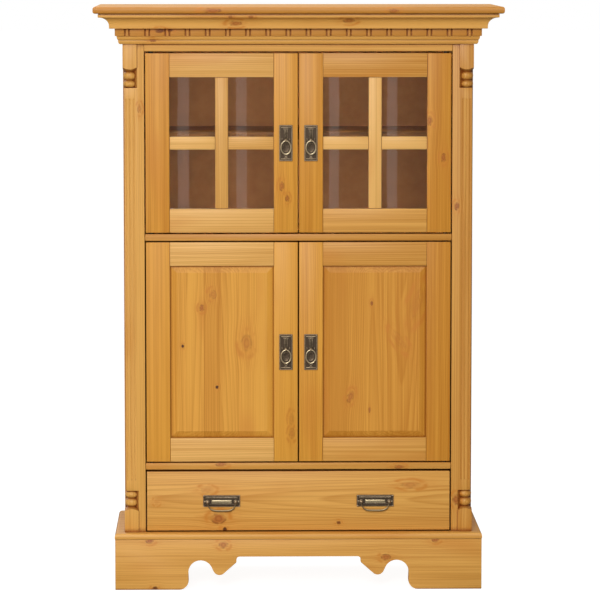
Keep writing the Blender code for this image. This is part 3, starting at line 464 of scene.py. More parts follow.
def make_knot_group():
    """A knot: its push on the grain, its core, its rim, a crescent about it and the stain around it."""
    tree = bpy.data.node_groups.new("pine_knot", "ShaderNodeTree")
    given = ("Along", "Across", "Radius", "Length")
    for label in given:
        tree.interface.new_socket(label, in_out="INPUT", socket_type="NodeSocketFloat")
    for label in ("Push", "Core", "Rim", "Crescent", "Halo"):
        tree.interface.new_socket(label, in_out="OUTPUT", socket_type="NodeSocketFloat")
    inside = tree.nodes.new("NodeGroupInput")
    along, across, radius, length = [Value(tree, inside.outputs[label]) for label in given]
    u = along / (radius * length)
    v = across / radius

    def blot(kind, x, y, detail=2.0):
        """Noise about the knot, another for each radius."""
        x_scale, y_scale, seed_step = KNOT_NOISE[kind]
        return noise(tree, (x * x_scale, y * y_scale, radius * seed_step), detail)

    plain = (u * u + v * v).math("SQRT") + KNOT_MIDDLE
    uneven = (blot("uneven", u, v) - 0.5) * KNOT_UNEVEN
    ragged = (blot("ragged", u, v) - 0.5) * KNOT_RAGGED
    distance = plain + uneven + ragged
    part = blot("part", u / plain, v / plain).ramp(*KNOT_PARTS)
    side = v / (v * v + PUSH_SOFTNESS).math("SQRT")
    push = side * radius * (u * PUSH_FADE[0]).fading() * (v * PUSH_FADE[1]).fading() * PUSH_SHARE
    core = 1.0 - distance.ramp(*KNOT_CORE)
    rim = distance.hoop(*KNOT_RIM) * (part * (1.0 - KNOT_RIM_LEAST) + KNOT_RIM_LEAST)
    rim = rim.math("MAXIMUM", distance.hoop(*KNOT_INNER_RING) * KNOT_INNER_SHARE)
    crescent = distance.hoop(*KNOT_CRESCENT) * (1.0 - part)
    feathered = blot("feather", u, v, detail=3.0).ramp(*KNOT_FEATHER)
    halo = (u * HALO_FADE[0]).fading() * (v * HALO_FADE[1]).fading() * feathered
    feed_all(tree, tree.nodes.new("NodeGroupOutput"), push, core, rim, crescent, halo)
    return tree


KNOT_GROUP = make_knot_group()


def add_knots(tree, u, v, knots):
    """A board's knots together: (along, across, radius, length, darkness, tilt) each, from its middle."""
    total = {}
    for along, across, radius, length, darkness, tilt in knots:
        node = tree.nodes.new("ShaderNodeGroup")
        node.node_tree = KNOT_GROUP
        du, dv = u - along, v - across
        if tilt:
            cosine, sine = math.cos(math.radians(tilt)), math.sin(math.radians(tilt))
            du, dv = du * cosine + dv * sine, dv * cosine - du * sine
        feed_all(tree, node, du, dv, radius, length)
        push, core, rim, crescent, halo = [Value(tree, socket) for socket in node.outputs]
        strength = min(1.0, KNOT_GAIN * darkness)
        found = {
            "push": push * min(1.0, PUSH_GAIN * darkness),
            "halo": (halo * HALO_SHARE).math("MAXIMUM", crescent * CRESCENT_SHARE),
            "red": core * (strength * (RED_SHARE[0] + RED_SHARE[1] * darkness)),
            "brown": rim * (strength * (BROWN_SHARE[0] + BROWN_SHARE[1] * darkness)),
            "dark": (rim * DARK_RIM_SHARE + core * DARK_CORE_SHARE) * darkness ** DARK_CURVE,
        }
        for key, value in found.items():
            joined = "ADD" if key == "push" else "MAXIMUM"
            total[key] = total[key].math(joined, value) if key in total else value
    return total


def grain_axes(tree, box, grain, across, layout):
    """Coordinates along the grain, across the face and into the board, from the board's middle."""
    place = on_piece(tree)
    depth = next(axis for axis in AXES if axis not in (grain, across))
    middle = dict(zip(AXES, (box[0] + box[1]) / 2))
    local = {axis: place[axis] - middle[axis] for axis in AXES}
    u, v, w = local[grain], local[across], local[depth]
    if layout == "mitred":
        outward = place["x"].math("ABSOLUTE") - BODY_HALF
        on_side = (outward + place["y"] - STILE_FRONT).math("GREATER_THAN", 0.0)
        u = u.between(local["y"], on_side)
        w = w.between(local["x"] * SIDE_DEPTH_SHARE, on_side)
    return u, v, w


def behind_front(depth, box):
    """How far a place lies behind the board's front face, from its depth."""
    return depth + (box[1].y - box[0].y) / 2


def pine(name, box, grain, across, tone, layout="board", knots=(), darker=0.0, stain_and_shade_bands=(),
         shut=SHUT_IN, reach=CREVICE_REACH, crevice_shade=CREVICE_SHADE_BROWN):
    """Lacquered pine, cut from a log: growth rings about a pith outside the board, fibres, stain, knots, and
    painted shade in crevices, on end grain and on some bands.
    """
    material, tree, shader = new_material(name)
    chance = random.Random(name)
    seed = chance.uniform(*SEEDS)
    u, v, w = grain_axes(tree, box, grain, across, layout)

    def figure(kind, place, pick=0.0):
        """Noise that is drawn out along the grain."""
        along_scale, across_scale, detail, roughness, apart = FIGURE[kind]
        parts = u * along_scale + seed, place * across_scale + pick * apart, w * across_scale
        return noise(tree, parts, detail, roughness)

    # Knots and strips
    found = add_knots(tree, u, v, knots)
    if found and layout != "mitred":
        near_front = 1.0 - behind_front(w, box).ramp(*KNOT_DEPTH)
        found = {key: value * near_front for key, value in found.items()}
    strip = 0.0
    if layout == "strips":
        strip_width = PANEL_STRIP_WIDTH if tone == "panel" else STRIP_WIDTH
        strip = ((v + chance.uniform(0.0, strip_width)) / strip_width).math("FLOOR")
    elif layout == "top":
        strip = ((behind_front(w, box) + TOP_EDGE[0]) / STRIP_WIDTH).math("FLOOR")
        darker = (1.0 - behind_front(w, box).ramp(*TOP_EDGE)) * darker
    first, second, third = random_three(tree, strip + seed)

    # Growth rings
    face = AXES.index(across)
    narrow = box[1][face] - box[0][face] <= STRIP_WIDTH
    aside = chance.choice(SIDES) * PITH_ASIDE if narrow else 0.0
    spread = NARROW_PITH_SPREAD if narrow else PITH_SPREAD
    bend = WANDER[tone]
    shifted = v + (figure("wander", v) - 0.5) * (WANDER_REACH * bend)
    if found:
        shifted = shifted - found["push"]
    to_v = shifted - aside - (first - 0.5) * spread - (second - 0.5) * u * (TAPER_ACROSS * bend)
    to_w = w + second * PITH_DEPTH_SPREAD + PITH_DEPTH + (third - 0.5) * u * (TAPER_DEPTH * bend)
    radius = (to_v * to_v + to_w * to_w).math("SQRT")
    ring_width = chance.uniform(*RING_WIDTHS)
    uneven = noise(tree, (radius * RING_UNEVEN_SCALE, first * RING_UNEVEN_APART, seed), detail=1.0)
    ring = (radius / ring_width + uneven * RING_UNEVEN).math("FRACT")
    late = (ring ** LATE_CURVE) * (1.0 - ring.ramp(*LATE_END))

    # Colour
    fibre = figure("fibre", shifted)
    streak = figure("streak", shifted, first)
    band = figure("band", shifted, third)
    patch = figure("patch", v, second)
    share = late * LATE_SHARE + (fibre - 0.5) * FIBRE_SHARE
    share = share + (streak - 0.5) * STREAK_SHARE + (band - 0.5) * BAND_SHARE
    contrast = STRIP_SHARE if layout == "strips" and tone != "panel" else BOARD_SHARE
    share = share + (first - 0.5) * contrast + LEAST_SHARE + darker
    # Bands of stain, of painted shade and of painted light across the board: dentils, shelf front edge, cove,
    # right post
    for near, far, amount in stain_and_shade_bands:
        past_near, past_far = [v.ramp(edge - STAIN_AND_SHADE_EDGE, edge + STAIN_AND_SHADE_EDGE) for edge in (near, far)]
        share = share + (past_near - past_far) * amount
    colour = blend(tree, share.held(), *TONES[tone])
    colour = blend(tree, patch.ramp(*PATCHES) * PATCH_SHARE, colour, ORANGE_PATCH)
    if found:
        for key, stain in KNOT_STAINS.items():
            colour = blend(tree, found[key].held(), colour, stain)
    # Faces across the grain turn darker brown: partly the stain that end grain takes, partly painted shade on
    # the beads and on the panels' top and bottom bevels
    if layout != "mitred":
        ends = on_piece(tree, "Normal")[grain].math("ABSOLUTE").ramp(*END_GRAIN)
        ends = ends * (PANEL_END_GRAIN_SHARE if tone == "panel" else END_GRAIN_SHARE)
        colour = blend(tree, ends, colour, END_GRAIN_STAIN_AND_SHADE)
    # Painted shade: the colour turns dark brown where a place is shut in, in gaps, joints and the necks of
    # the beads
    depth = crevice(tree, reach).ramp(*shut) * (PANEL_CREVICE_SHADE_SHARE if tone == "panel" else CREVICE_SHADE_SHARE)
    colour = blend(tree, depth, colour, crevice_shade)

    tree.links.new(colour, shader.inputs["Base Color"])
    feed(tree, shader.inputs["Roughness"], fibre * FIBRE_ROUGHNESS + ROUGHNESS)
    shader.inputs["Specular IOR Level"].default_value = DULL_SPECULAR if tone == "brown" else SPECULAR
    bump(tree, shader, late * LATE_RELIEF + fibre * FIBRE_RELIEF, *GRAIN_BUMP)
    return material


def backing():
    """Hardboard with a brown stain, faintly mottled, and painted light that makes it paler towards the left.
    """
    material, tree, shader = new_material("brown_hardboard")
    mottle = speckle(tree, *MOTTLE_NOISE)
    speck = speckle(tree, *SPECK_NOISE)
    share = mottle.ramp(*MOTTLE) * MOTTLE_SHARE + speck * SPECK_SHARE + BACKING_LEAST
    # Painted light: the backing paler towards the left, where more light falls
    share = share - on_piece(tree)["x"] * PAINTED_LIGHT_LEFTWARD
    tree.links.new(blend(tree, share.held(), *BACKING_TONES), shader.inputs["Base Color"])
    feed(tree, shader.inputs["Roughness"], speck * SPECK_ROUGHNESS + BACKING_ROUGHNESS)
    shader.inputs["Specular IOR Level"].default_value = DULL_SPECULAR
    bump(tree, shader, speck, *SPECK_BUMP)
    return material


def clear_glass():
    """Float glass with a little waviness."""
    material, tree, shader = new_material("float_glass")
    preset(shader, {"Base Color": GLASS_TINT, "Transmission Weight": 1.0, "Roughness": 0.0, "IOR": GLASS_IOR})
    bump(tree, shader, speckle(tree, *WAVE_NOISE), *WAVE_BUMP)
    return material


def metal(name, worn_from, dark, bright, roughness, metallic):
    """Antique metal: dark patina in the hollows, rubbed bright on what stands proud."""
    material, tree, shader = new_material(name)
    blotch = speckle(tree, *BLOTCH_NOISE)
    scratch = speckle(tree, *SCRATCH_NOISE)
    wear = tree.nodes.new("ShaderNodeAttribute")
    wear.attribute_name = "wear"
    rubbed = Value(tree, wear.outputs["Fac"]) + (blotch - 0.5) * BLOTCH_WEAR
    rubbed = rubbed.ramp(worn_from, worn_from + WEAR_SOFTNESS)
    tree.links.new(blend(tree, rubbed, dark, bright), shader.inputs["Base Color"])
    shader.inputs["Metallic"].default_value = metallic
    feed(tree, shader.inputs["Roughness"], rubbed * -RUBBED_GLOSS + scratch * SCRATCH_ROUGHNESS + roughness)
    bump(tree, shader, blotch * BLOTCH_RELIEF + scratch * SCRATCH_RELIEF, *CAST_BUMP)
    return material


def geometry_group(name):
    """An empty group of geometry nodes, with its input and its output."""
    tree = bpy.data.node_groups.new(name, "GeometryNodeTree")
    for direction in ("INPUT", "OUTPUT"):
        tree.interface.new_socket("Geometry", in_out=direction, socket_type="NodeSocketGeometry")
    return tree, tree.nodes.new("NodeGroupInput"), tree.nodes.new("NodeGroupOutput")


def pass_geometry(tree, *nodes):
    """Link the geometry through a row of nodes."""
    for near, far in zip(nodes, nodes[1:]):
        tree.links.new(near.outputs["Geometry"], far.inputs["Geometry"])


def edge_test(tree, socket, operation, limit):
    """Whether a number at each edge is greater, or less, than a limit."""
    node = tree.nodes.new("FunctionNodeCompare")
    node.operation = operation
    node.inputs["B"].default_value = limit
    tree.links.new(socket, node.inputs["A"])
    return node.outputs["Result"]


def edge_weights():
    """Geometry nodes that mark a board's long sharp edges for easing."""
    tree, inside, outside = geometry_group("long_sharp_edges")
    angle = tree.nodes.new("GeometryNodeInputMeshEdgeAngle")
    ends = tree.nodes.new("GeometryNodeInputMeshEdgeVertices")
    length = tree.nodes.new("ShaderNodeVectorMath")
    length.operation = "DISTANCE"
    tree.links.new(ends.outputs["Position 1"], length.inputs[0])
    tree.links.new(ends.outputs["Position 2"], length.inputs[1])
    both = tree.nodes.new("FunctionNodeBooleanMath")
    sharp = edge_test(tree, angle.outputs["Unsigned Angle"], "GREATER_THAN", SHARP_ANGLE)
    long = edge_test(tree, length.outputs["Value"], "GREATER_THAN", EDGE_SHORTEST)
    tree.links.new(sharp, both.inputs[0])
    tree.links.new(long, both.inputs[1])
    store = tree.nodes.new("GeometryNodeStoreNamedAttribute")
    store.domain = "EDGE"
    store.inputs["Name"].default_value = "bevel_weight_edge"
    tree.links.new(both.outputs[0], store.inputs["Value"])
    pass_geometry(tree, inside, store, outside)
    return tree


def smooth_by_angle(name, sharp_from):
    """Geometry nodes that shade a piece smooth, but for its edges past an angle."""
    tree, inside, outside = geometry_group(name)
    plain = tree.nodes.new("GeometryNodeRemoveAttribute")
    plain.inputs["Name"].default_value = "custom_normal"
    faces = tree.nodes.new("GeometryNodeSetShadeSmooth")
    edges = tree.nodes.new("GeometryNodeSetShadeSmooth")
    edges.domain = "EDGE"
    angle = tree.nodes.new("GeometryNodeInputMeshEdgeAngle")
    smooth = edge_test(tree, angle.outputs["Unsigned Angle"], "LESS_THAN", sharp_from)
    tree.links.new(smooth, edges.inputs["Shade Smooth"])
    pass_geometry(tree, inside, plain, faces, edges, outside)
    return tree


EDGE_WEIGHTS = edge_weights()
ROUNDED = smooth_by_angle("smooth_but_sharp_edges", SHARP_ANGLE)
CRISP = smooth_by_angle("smooth_but_slight_edges", CRISP_ANGLE)


def ease(piece, radius=0.0, shape=ROUNDED):
    """Join a piece's faces, round its long edges by a radius and shade it smooth."""
    weld = piece.modifiers.new("weld", "WELD")
    weld.merge_threshold = WELD_REACH
    flat = piece.modifiers.new("flat_faces", "DECIMATE")
    flat.decimate_type = "DISSOLVE"
    flat.angle_limit = FLAT_ANGLE
    if radius:
        marks = piece.modifiers.new("long_edges", "NODES")
        marks.node_group = EDGE_WEIGHTS
        rounding = piece.modifiers.new("eased_edges", "BEVEL")
        rounding.limit_method = "WEIGHT"
        rounding.width = radius
        rounding.segments = EDGE_SEGMENTS
        rounding.use_clamp_overlap = False
    shading = piece.modifiers.new("shading", "NODES")
    shading.node_group = shape


def paint(piece, material):
    """Give a piece one material."""
    piece.data.materials.clear()
    piece.data.materials.append(material)


def linked(name, data):
    """A new object of the scene."""
    item = bpy.data.objects.new(name, data)
    bpy.context.scene.collection.objects.link(item)
    return item


def from_bmesh(name, bm, material):
    """A new object with a bmesh's faces and one material."""
    mesh = bpy.data.meshes.new(name)
    bm.to_mesh(mesh)
    bm.free()
    item = linked(name, mesh)
    paint(item, material)
    return item


def new_piece(name, bm, material, body, slot, *stands_for):
    """A piece in the frame's coordinates that rides on a body, in place of some nodes."""
    bmesh.ops.recalc_face_normals(bm, faces=bm.faces)
    piece = from_bmesh(name, bm, material)
    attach(piece, body)
    if stands_for:
        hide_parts(*stands_for)
    ease(piece)


# Boards that the photograph shows darker than their tone, or paler
# The darker top rails and crown cap are partly painted shade, offsetting the stronger light that falls at the
# top
DARKER = {
    "crown_cap": 0.55, "upper_shelf": -0.35, "middle_divider": 0.40, "plinth_frame": -0.20,
    "base_board": -0.30, "left_corner_post": -0.05, "right_corner_post": 0.60,
    "left_upper_door_top_rail": 0.32, "left_upper_door_bottom_rail": -0.20,
    "left_lower_door_top_rail": 0.35, "left_lower_door_bottom_rail": -0.10,
    "right_upper_door_top_rail": 0.52, "right_upper_door_bottom_rail": -0.15,
    "right_lower_door_top_rail": 0.50, "right_lower_door_bottom_rail": 0.50,
    "right_upper_door_hinge_stile": 0.35, "right_lower_door_hinge_stile": 0.40,
    "right_lower_door_panel": 0.20,
    "left_lower_door_hinge_stile": -0.35, "left_lower_door_lock_stile": -0.10,
    "right_lower_door_lock_stile": -0.35,
}

# Knots that the photograph shows: x and z in metres, radius, length over width, darkness and, for some, tilt
KNOTS = {
    "drawer_front": [
        (-0.206, 0.182, 0.0125, 1.35, 0.40), (-0.235, 0.256, 0.0075, 1.9, 0.10),
        (-0.190, 0.154, 0.0045, 1.1, 0.95), (0.104, 0.170, 0.0040, 1.2, 0.8),
        (0.288, 0.268, 0.0080, 2.6, 0.15), (-0.365, 0.226, 0.0070, 0.9, 0.05)],
    "left_lower_door_panel": [
        (-0.219, 0.762, 0.0085, 1.2, 0.15), (-0.248, 0.727, 0.0065, 1.2, 0.35),
        (-0.297, 0.629, 0.0032, 1.3, 1.0), (-0.209, 0.523, 0.0036, 1.2, 1.0),
        (-0.133, 0.636, 0.0130, 1.5, 0.15)],
    "right_lower_door_panel": [
        (0.188, 0.739, 0.0032, 1.8, 0.6), (0.258, 0.643, 0.0105, 2.2, 0.06, -35.0),
        (0.134, 0.497, 0.0075, 1.9, 0.25, 20.0), (0.183, 0.463, 0.0024, 2.6, 0.4),
        (0.308, 0.739, 0.0150, 2.4, 0.06, 20.0)],
    "left_upper_door_lock_stile": [(-0.043, 1.040, 0.0060, 1.8, 0.3), (-0.028, 1.009, 0.0050, 1.6, 0.4)],
    "left_lower_door_lock_stile": [(-0.018, 0.440, 0.0060, 2.2, 0.1), (-0.017, 0.402, 0.0070, 1.8, 0.15)],
    "right_upper_door_hinge_stile": [(0.335, 1.207, 0.0075, 1.5, 0.3), (0.371, 1.112, 0.0065, 1.6, 0.35)],
    "right_corner_post": [(0.405, 0.988, 0.0060, 1.5, 0.5), (0.407, 0.229, 0.0080, 1.5, 0.4)],
    "left_corner_post": [(-0.405, 1.238, 0.0050, 2.0, 0.2)],
    "plinth_frame": [
        (-0.383, 0.127, 0.0060, 1.5, 0.5), (-0.194, 0.117, 0.0080, 1.3, 0.3),
        (-0.370, 0.002, 0.0060, 1.2, 0.9), (0.225, 0.083, 0.0070, 1.6, 0.3),
        (0.353, 0.128, 0.0060, 1.4, 0.4)],
    "crown_moulding": [
        (-0.351, 1.437, 0.0050, 2.2, 0.8), (-0.325, 1.438, 0.0035, 2.0, 0.8),
        (-0.370, 1.412, 0.0040, 1.8, 0.5), (0.128, 1.462, 0.0060, 2.2, 0.3),
        (-0.160, 1.455, 0.0065, 2.2, 0.3), (-0.120, 1.472, 0.0035, 1.8, 0.4),
        (-0.172, 1.472, 0.0035, 1.4, 0.4)],
    "crown_cap": [(-0.218, 1.488, 0.0065, 3.0, 0.35), (0.240, 1.488, 0.0050, 2.2, 0.3)],
    "drawer_divider": [(-0.199, 0.322, 0.0060, 2.0, 0.3), (0.260, 0.315, 0.0050, 2.2, 0.3)],
}


def knots_of(node, grain, across):
    """A node's knots on its front, measured from its middle: along the grain and across it."""
    low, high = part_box(node)
    middle = (low + high) / 2
    found = []
    for x, z, radius, length, darkness, *tilt in KNOTS.get(node, ()):
        place = {"x": x - middle.x, "y": low.y - middle.y, "z": z - middle.z}
        found.append((place[grain], place[across], radius, length, darkness, tilt[0] if tilt else 0.0))
    return found


def board_plan():
    """Each wooden node's grain, the axis across its face, its tone and its layout."""
    plan = {"plinth_frame": ("x", "z", "honey", "mitred"), "crown_moulding": ("x", "z", "honey", "mitred")}
    for node in ("base_board", "drawer_divider", "middle_divider", "top_panel",
                 "drawer_front", "drawer_back"):
        plan[node] = ("x", "z", "honey", "board")
    plan["crown_cap"] = ("x", "z", "honey", "top")
    # The shelf takes the brown tone: its pine painted dark for the shade inside the cupboard
    plan["upper_shelf"] = ("x", "y", "brown", "strips")
    plan["drawer_bottom"] = ("x", "y", "honey", "strips")
    for hand in HANDS:
        plan[f"{hand}_side_panel"] = ("z", "y", "honey", "strips")
        plan[f"{hand}_corner_post"] = ("z", "x", "honey", "board")
        plan[f"{hand}_drawer_guide"] = ("y", "z", "honey", "board")
        plan[f"drawer_{hand}_side"] = ("y", "z", "honey", "board")
        for level in LEVELS:
            door = f"{hand}_{level}_door"
            for kind in ("hinge", "lock"):
                plan[f"{door}_{kind}_stile"] = ("z", "x", "warm", "board")
            for kind in ("top", "bottom"):
                plan[f"{door}_{kind}_rail"] = ("x", "z", "pale" if hand == "left" else "honey", "board")
        plan[f"{hand}_lower_door_panel"] = ("z", "x", "panel", "strips")
    return plan


def edge_radius(node):
    """How far a board's long edges are eased."""
    if "divider" in node:
        return DIVIDER_EDGE_RADIUS
    return POST_EDGE_RADIUS if "post" in node else EDGE_RADIUS


def finish_wood():
    """Pine on every wooden node, with eased edges."""
    for node, (grain, across, tone, layout) in board_plan().items():
        post = node.endswith("_post")
        carved = post or node == "crown_moulding"
        material = pine(
            f"pine_{node}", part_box(node), grain, across, tone, layout,
            knots=knots_of(node, grain, across),
            darker=DARKER.get(node, 0.0),
            stain_and_shade_bands=STAIN_AND_SHADE_BANDS.get(node, ()),
            shut=SHUT_IN_CARVED if carved else SHUT_IN,
            reach=POST_CREVICE_REACH if post else CREVICE_REACH,
            crevice_shade=CARVED_SHADE_BROWN if carved else CREVICE_SHADE_BROWN,
        )
        paint(NODES[node], material)
        ease(NODES[node], edge_radius(node), CRISP if node.endswith("_panel") else ROUNDED)


def glazing_bars(hand):
    """An upright bar and two level bars that butt against it, over a glazed door's pane."""
    door = f"{hand}_upper_door"
    node = f"{door}_glazing_bars"
    low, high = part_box(node)
    middle = (low + high) / 2
    half = BAR_WIDTH / 2
    bars = {
        "upright": ((middle.x - half, low.z), (middle.x + half, high.z), "z", "x"),
        "left": ((low.x, middle.z - half), (middle.x - half - BAR_JOINT, middle.z + half), "x", "z"),
        "right": ((middle.x + half + BAR_JOINT, middle.z - half), (high.x, middle.z + half), "x", "z"),
    }
    for kind, (near, far, grain, across) in bars.items():
        box = Vector((near[0], low.y, near[1])), Vector((far[0], high.y, far[1]))
        size = box[1] - box[0]
        bm = bmesh.new()
        bmesh.ops.create_cube(bm, size=1.0)
        for vert in bm.verts:
            vert.co = (box[0] + box[1]) / 2 + Vector(a * b for a, b in zip(vert.co, size))
        bmesh.ops.bevel(bm, geom=bm.edges[:], offset=EDGE_RADIUS, segments=EDGE_SEGMENTS, profile=0.5,
                        affect="EDGES")
        name = f"{door}_bar_{kind}"
        material = pine(f"pine_{name}", box, grain, across, "pale")
        new_piece(name, bm, material, door, "pale_pine", node)


class Casting:
    """A cast metal piece: shells on a wooden face, with a wear value at each vertex."""

    def __init__(self, centre, face):
        self.bm = bmesh.new()
        self.wear = self.bm.verts.layers.float.new("wear")
        self.centre = centre
        self.face = face

    def point(self, x, z, out, wear):
        """A vertex at (x, z) from the casting's centre, at a height over the wood."""
        vert = self.bm.verts.new((self.centre[0] + x, self.face - out, self.centre[1] + z))
        vert[self.wear] = wear
        return vert

    def skin(self, loops, closed=False):
        """Faces between loops of vertices, with end caps, or joined in a ring."""
        row = [loops[-1], *loops] if closed else loops
        for near, far in zip(row, row[1:]):
            for index in range(len(near)):
                self.bm.faces.new((near[index - 1], near[index], far[index], far[index - 1]))
        if not closed:
            self.bm.faces.new(loops[0])
            self.bm.faces.new(loops[-1])

    def loft(self, levels):
        """A closed shell through levels of (points, out, wear)."""
        self.skin([[self.point(x, z, out, wear) for x, z in points] for points, out, wear in levels])

    def plate(self, half, corner, levels, shift=(0.0, 0.0)):
        """A rounded rectangle through levels of (inset, out, wear)."""
        self.loft([(rounded_rectangle(half[0] - inset, half[1] - inset, corner, shift), out, wear)
                   for inset, out, wear in levels])

    def dome(self, place, levels, steps=DOME_STEPS):
        """A round or oval boss through levels of (half width, half height, out, wear)."""
        self.loft([(oval(place, width, height, steps), out, wear) for width, height, out, wear in levels])

    def tube(self, path, wear, closed):
        """A bent bar along points of (x, z, half height, half depth), at the pivot's height."""
        count = len(path)
        loops = []
        for index, (x, z, high, deep) in enumerate(path):
            before = path[index - 1] if closed or index else path[0]
            after = path[(index + 1) % count] if closed or index < count - 1 else path[-1]
            along = Vector((after[0] - before[0], after[1] - before[1])).normalized()
            normal = Vector((-along.y, along.x))
            loop = []
            for step in range(TUBE_STEPS):
                angle = math.tau * step / TUBE_STEPS
                offset = normal * (high * math.cos(angle))
                loop.append(self.point(x + offset.x, z + offset.y, PIVOT_OUT + deep * math.sin(angle), wear))
            loops.append(loop)
        self.skin(loops, closed)


def oval(place, width, height, steps):
    """Points round an oval, (x, z)."""
    angles = [math.tau * step / steps for step in range(steps)]
    return [(place[0] + width * math.cos(a), place[1] + height * math.sin(a)) for a in angles]


def rounded_rectangle(half_width, half_height, corner, shift):
    """Points round a rectangle with round corners, (x, z)."""
    corner = min(corner, half_width * CORNER_MOST, half_height * CORNER_MOST)
    points = []
    for quarter, (sx, sz) in enumerate(((1, 1), (-1, 1), (-1, -1), (1, -1))):
        for step in range(CORNER_STEPS + 1):
            angle = math.pi / 2 * (quarter + step / CORNER_STEPS)
            points.append((shift[0] + sx * (half_width - corner) + corner * math.cos(angle),
                           shift[1] + sz * (half_height - corner) + corner * math.sin(angle)))
    return points


# Relief of the cast metal, from the wood outwards. A plate's levels are inset, height over the wood and wear,
# and a boss's are half width, half height, height over the wood and wear. The field is inset past the border
FOOT = 0.0011
PLATE_CORNER = 0.0012
PLATE_EDGE = ((0.0, 0.0003, 0.1), (0.0, 0.0015, 0.3), (0.0008, 0.0025, 0.75))
PLATE_FIELD = ((0.0, 0.0025, 0.65), (0.0007, 0.0014, 0.0))
RIVET = ((0.0019, 0.0019, 0.0020, 0.6), (0.0018, 0.0018, 0.0028, 0.8),
         (0.0012, 0.0012, 0.0035, 1.0), (0.0004, 0.0004, 0.0038, 1.0))
RIVET_INSET = 0.9
NAIL = ((0.0030, 0.0030, 0.0008, 0.4), (0.0030, 0.0030, -0.0002, 0.6),
        (0.0022, 0.0022, -0.0006, 0.8), (0.0008, 0.0008, -0.0008, 0.9))

# A bead: its corner and foot, then insets, how far each lies below its top and how much more it is worn
BEAD_RISE = 0.0028
BEAD_CORNER = 0.0008
BEAD_FOOT = (0.0, FOOT, 0.2)
BEAD_ROUND = ((0.0, 0.0007, 0.0), (0.0004, 0.0002, 0.0), (0.0007, 0.0, 0.1))

# A door's plate. A band has a half size, a height from the plate's middle and a wear. Other heights are from
# the ring's lug
DOOR_BORDER = 0.0024
DOOR_BANDS = (((0.0128, 0.0011), 0.0402, 0.7), ((0.0128, 0.0011), -0.0402, 0.7),
              ((0.0070, 0.0012), 0.0362, 0.6))
REED_COUNT = 3
REED_STEP = 0.0038
REED_HALF = (0.0018, 0.0128)
REED_CORNER = 0.0016
REED_RISE = 0.0172
REED = ((0.0, FOOT, 0.1), (0.0001, 0.0022, 0.35), (0.0007, 0.0031, 0.5), (0.0014, 0.0034, 0.6))
DROP_RISE = 0.0010
DROP = ((0.0050, 0.0060, 0.0012, 0.2), (0.0046, 0.0056, 0.0026, 0.5), (0.0036, 0.0046, 0.0036, 0.6),
        (0.0034, 0.0044, 0.0065, 0.8), (0.0030, 0.0040, 0.0088, 0.95), (0.0020, 0.0028, 0.0104, 1.0),
        (0.0007, 0.0010, 0.0110, 1.0))
WING_PLACE = (0.0098, 0.0030)
WING = ((0.0022, 0.0044, FOOT, 0.1), (0.0019, 0.0040, 0.0020, 0.4),
        (0.0010, 0.0026, 0.0026, 0.55), (0.0003, 0.0009, 0.0028, 0.6))
DISH = ((0.0088, 0.0124, FOOT, 0.1), (0.0086, 0.0122, 0.0024, 0.5), (0.0078, 0.0114, 0.0028, 0.6),
        (0.0068, 0.0104, 0.0025, 0.4), (0.0045, 0.0075, 0.0019, 0.35))
HOURGLASS_DROP = 0.0068
HOURGLASS = ((0.0062, 0.0042), (0.0, 0.0026), (-0.0062, 0.0042), (-0.0012, 0.0),
             (-0.0062, -0.0042), (0.0, -0.0026), (0.0062, -0.0042), (0.0012, 0.0))
HOURGLASS_LEVELS = ((1.0, FOOT, 0.2), (1.0, 0.0022, 0.55), (0.8, 0.0027, 0.7))

# A drawer's plate
DRAWER_BORDER = 0.0019
TICK_COUNT = 9
TICK_STEP = 0.0074
TICK_HALF = (0.0011, 0.0021)
TICK_UP = 0.0085
TICK_WEAR = 0.5
TICK_RISE = 0.0034
DRAWER_BANDS = (((0.0415, 0.0030), TICK_UP, 0.45), ((0.0415, 0.0026), -0.0095, 0.25))
WINDOW_POST = (0.0010, 0.0058)
WINDOW_POST_OUT = 0.0318
WINDOW_POST_WEAR = 0.2
BOSS = ((0.0056, 0.0056, FOOT, 0.3), (0.0054, 0.0054, 0.0026, 0.6), (0.0042, 0.0042, 0.0034, 0.6),
        (0.0040, 0.0040, 0.0066, 0.8), (0.0035, 0.0035, 0.0088, 0.95), (0.0022, 0.0022, 0.0104, 1.0),
        (0.0008, 0.0008, 0.0110, 1.0))
STUD_OUT = 0.0432
STUD = ((0.0020, 0.0030, FOOT, 0.4), (0.0018, 0.0028, 0.0024, 0.8),
        (0.0010, 0.0016, 0.0030, 1.0), (0.0003, 0.0005, 0.0032, 1.0))
WINDOW_HALF = (0.0260, 0.0045)
WINDOW_CORNER = 0.0010
WINDOW = ((0.0, FOOT, 0.1), (0.0, 0.0026, 0.3), (0.0006, 0.0031, 0.5),
          (0.0014, 0.0031, 0.5), (0.0019, 0.0026, 0.3), (0.0028, 0.0028, 0.4))


def backplate(casting, half, border):
    """A plate with a raised border round a sunk field, and a rivet at each corner."""
    field = [(border + inset, out, wear) for inset, out, wear in PLATE_FIELD]
    casting.plate(half, PLATE_CORNER, [*PLATE_EDGE, *field])
    inset = border * RIVET_INSET
    for sx in SIDES:
        for sz in SIDES:
            casting.dome((sx * (half[0] - inset), sz * (half[1] - inset)), RIVET)


def bead(casting, half, shift, wear, height=BEAD_RISE):
    """A raised rounded bar on a plate's field."""
    levels = [(inset, height - below, wear + more) for inset, below, more in BEAD_ROUND]
    casting.plate(half, BEAD_CORNER, [BEAD_FOOT, *levels], shift)


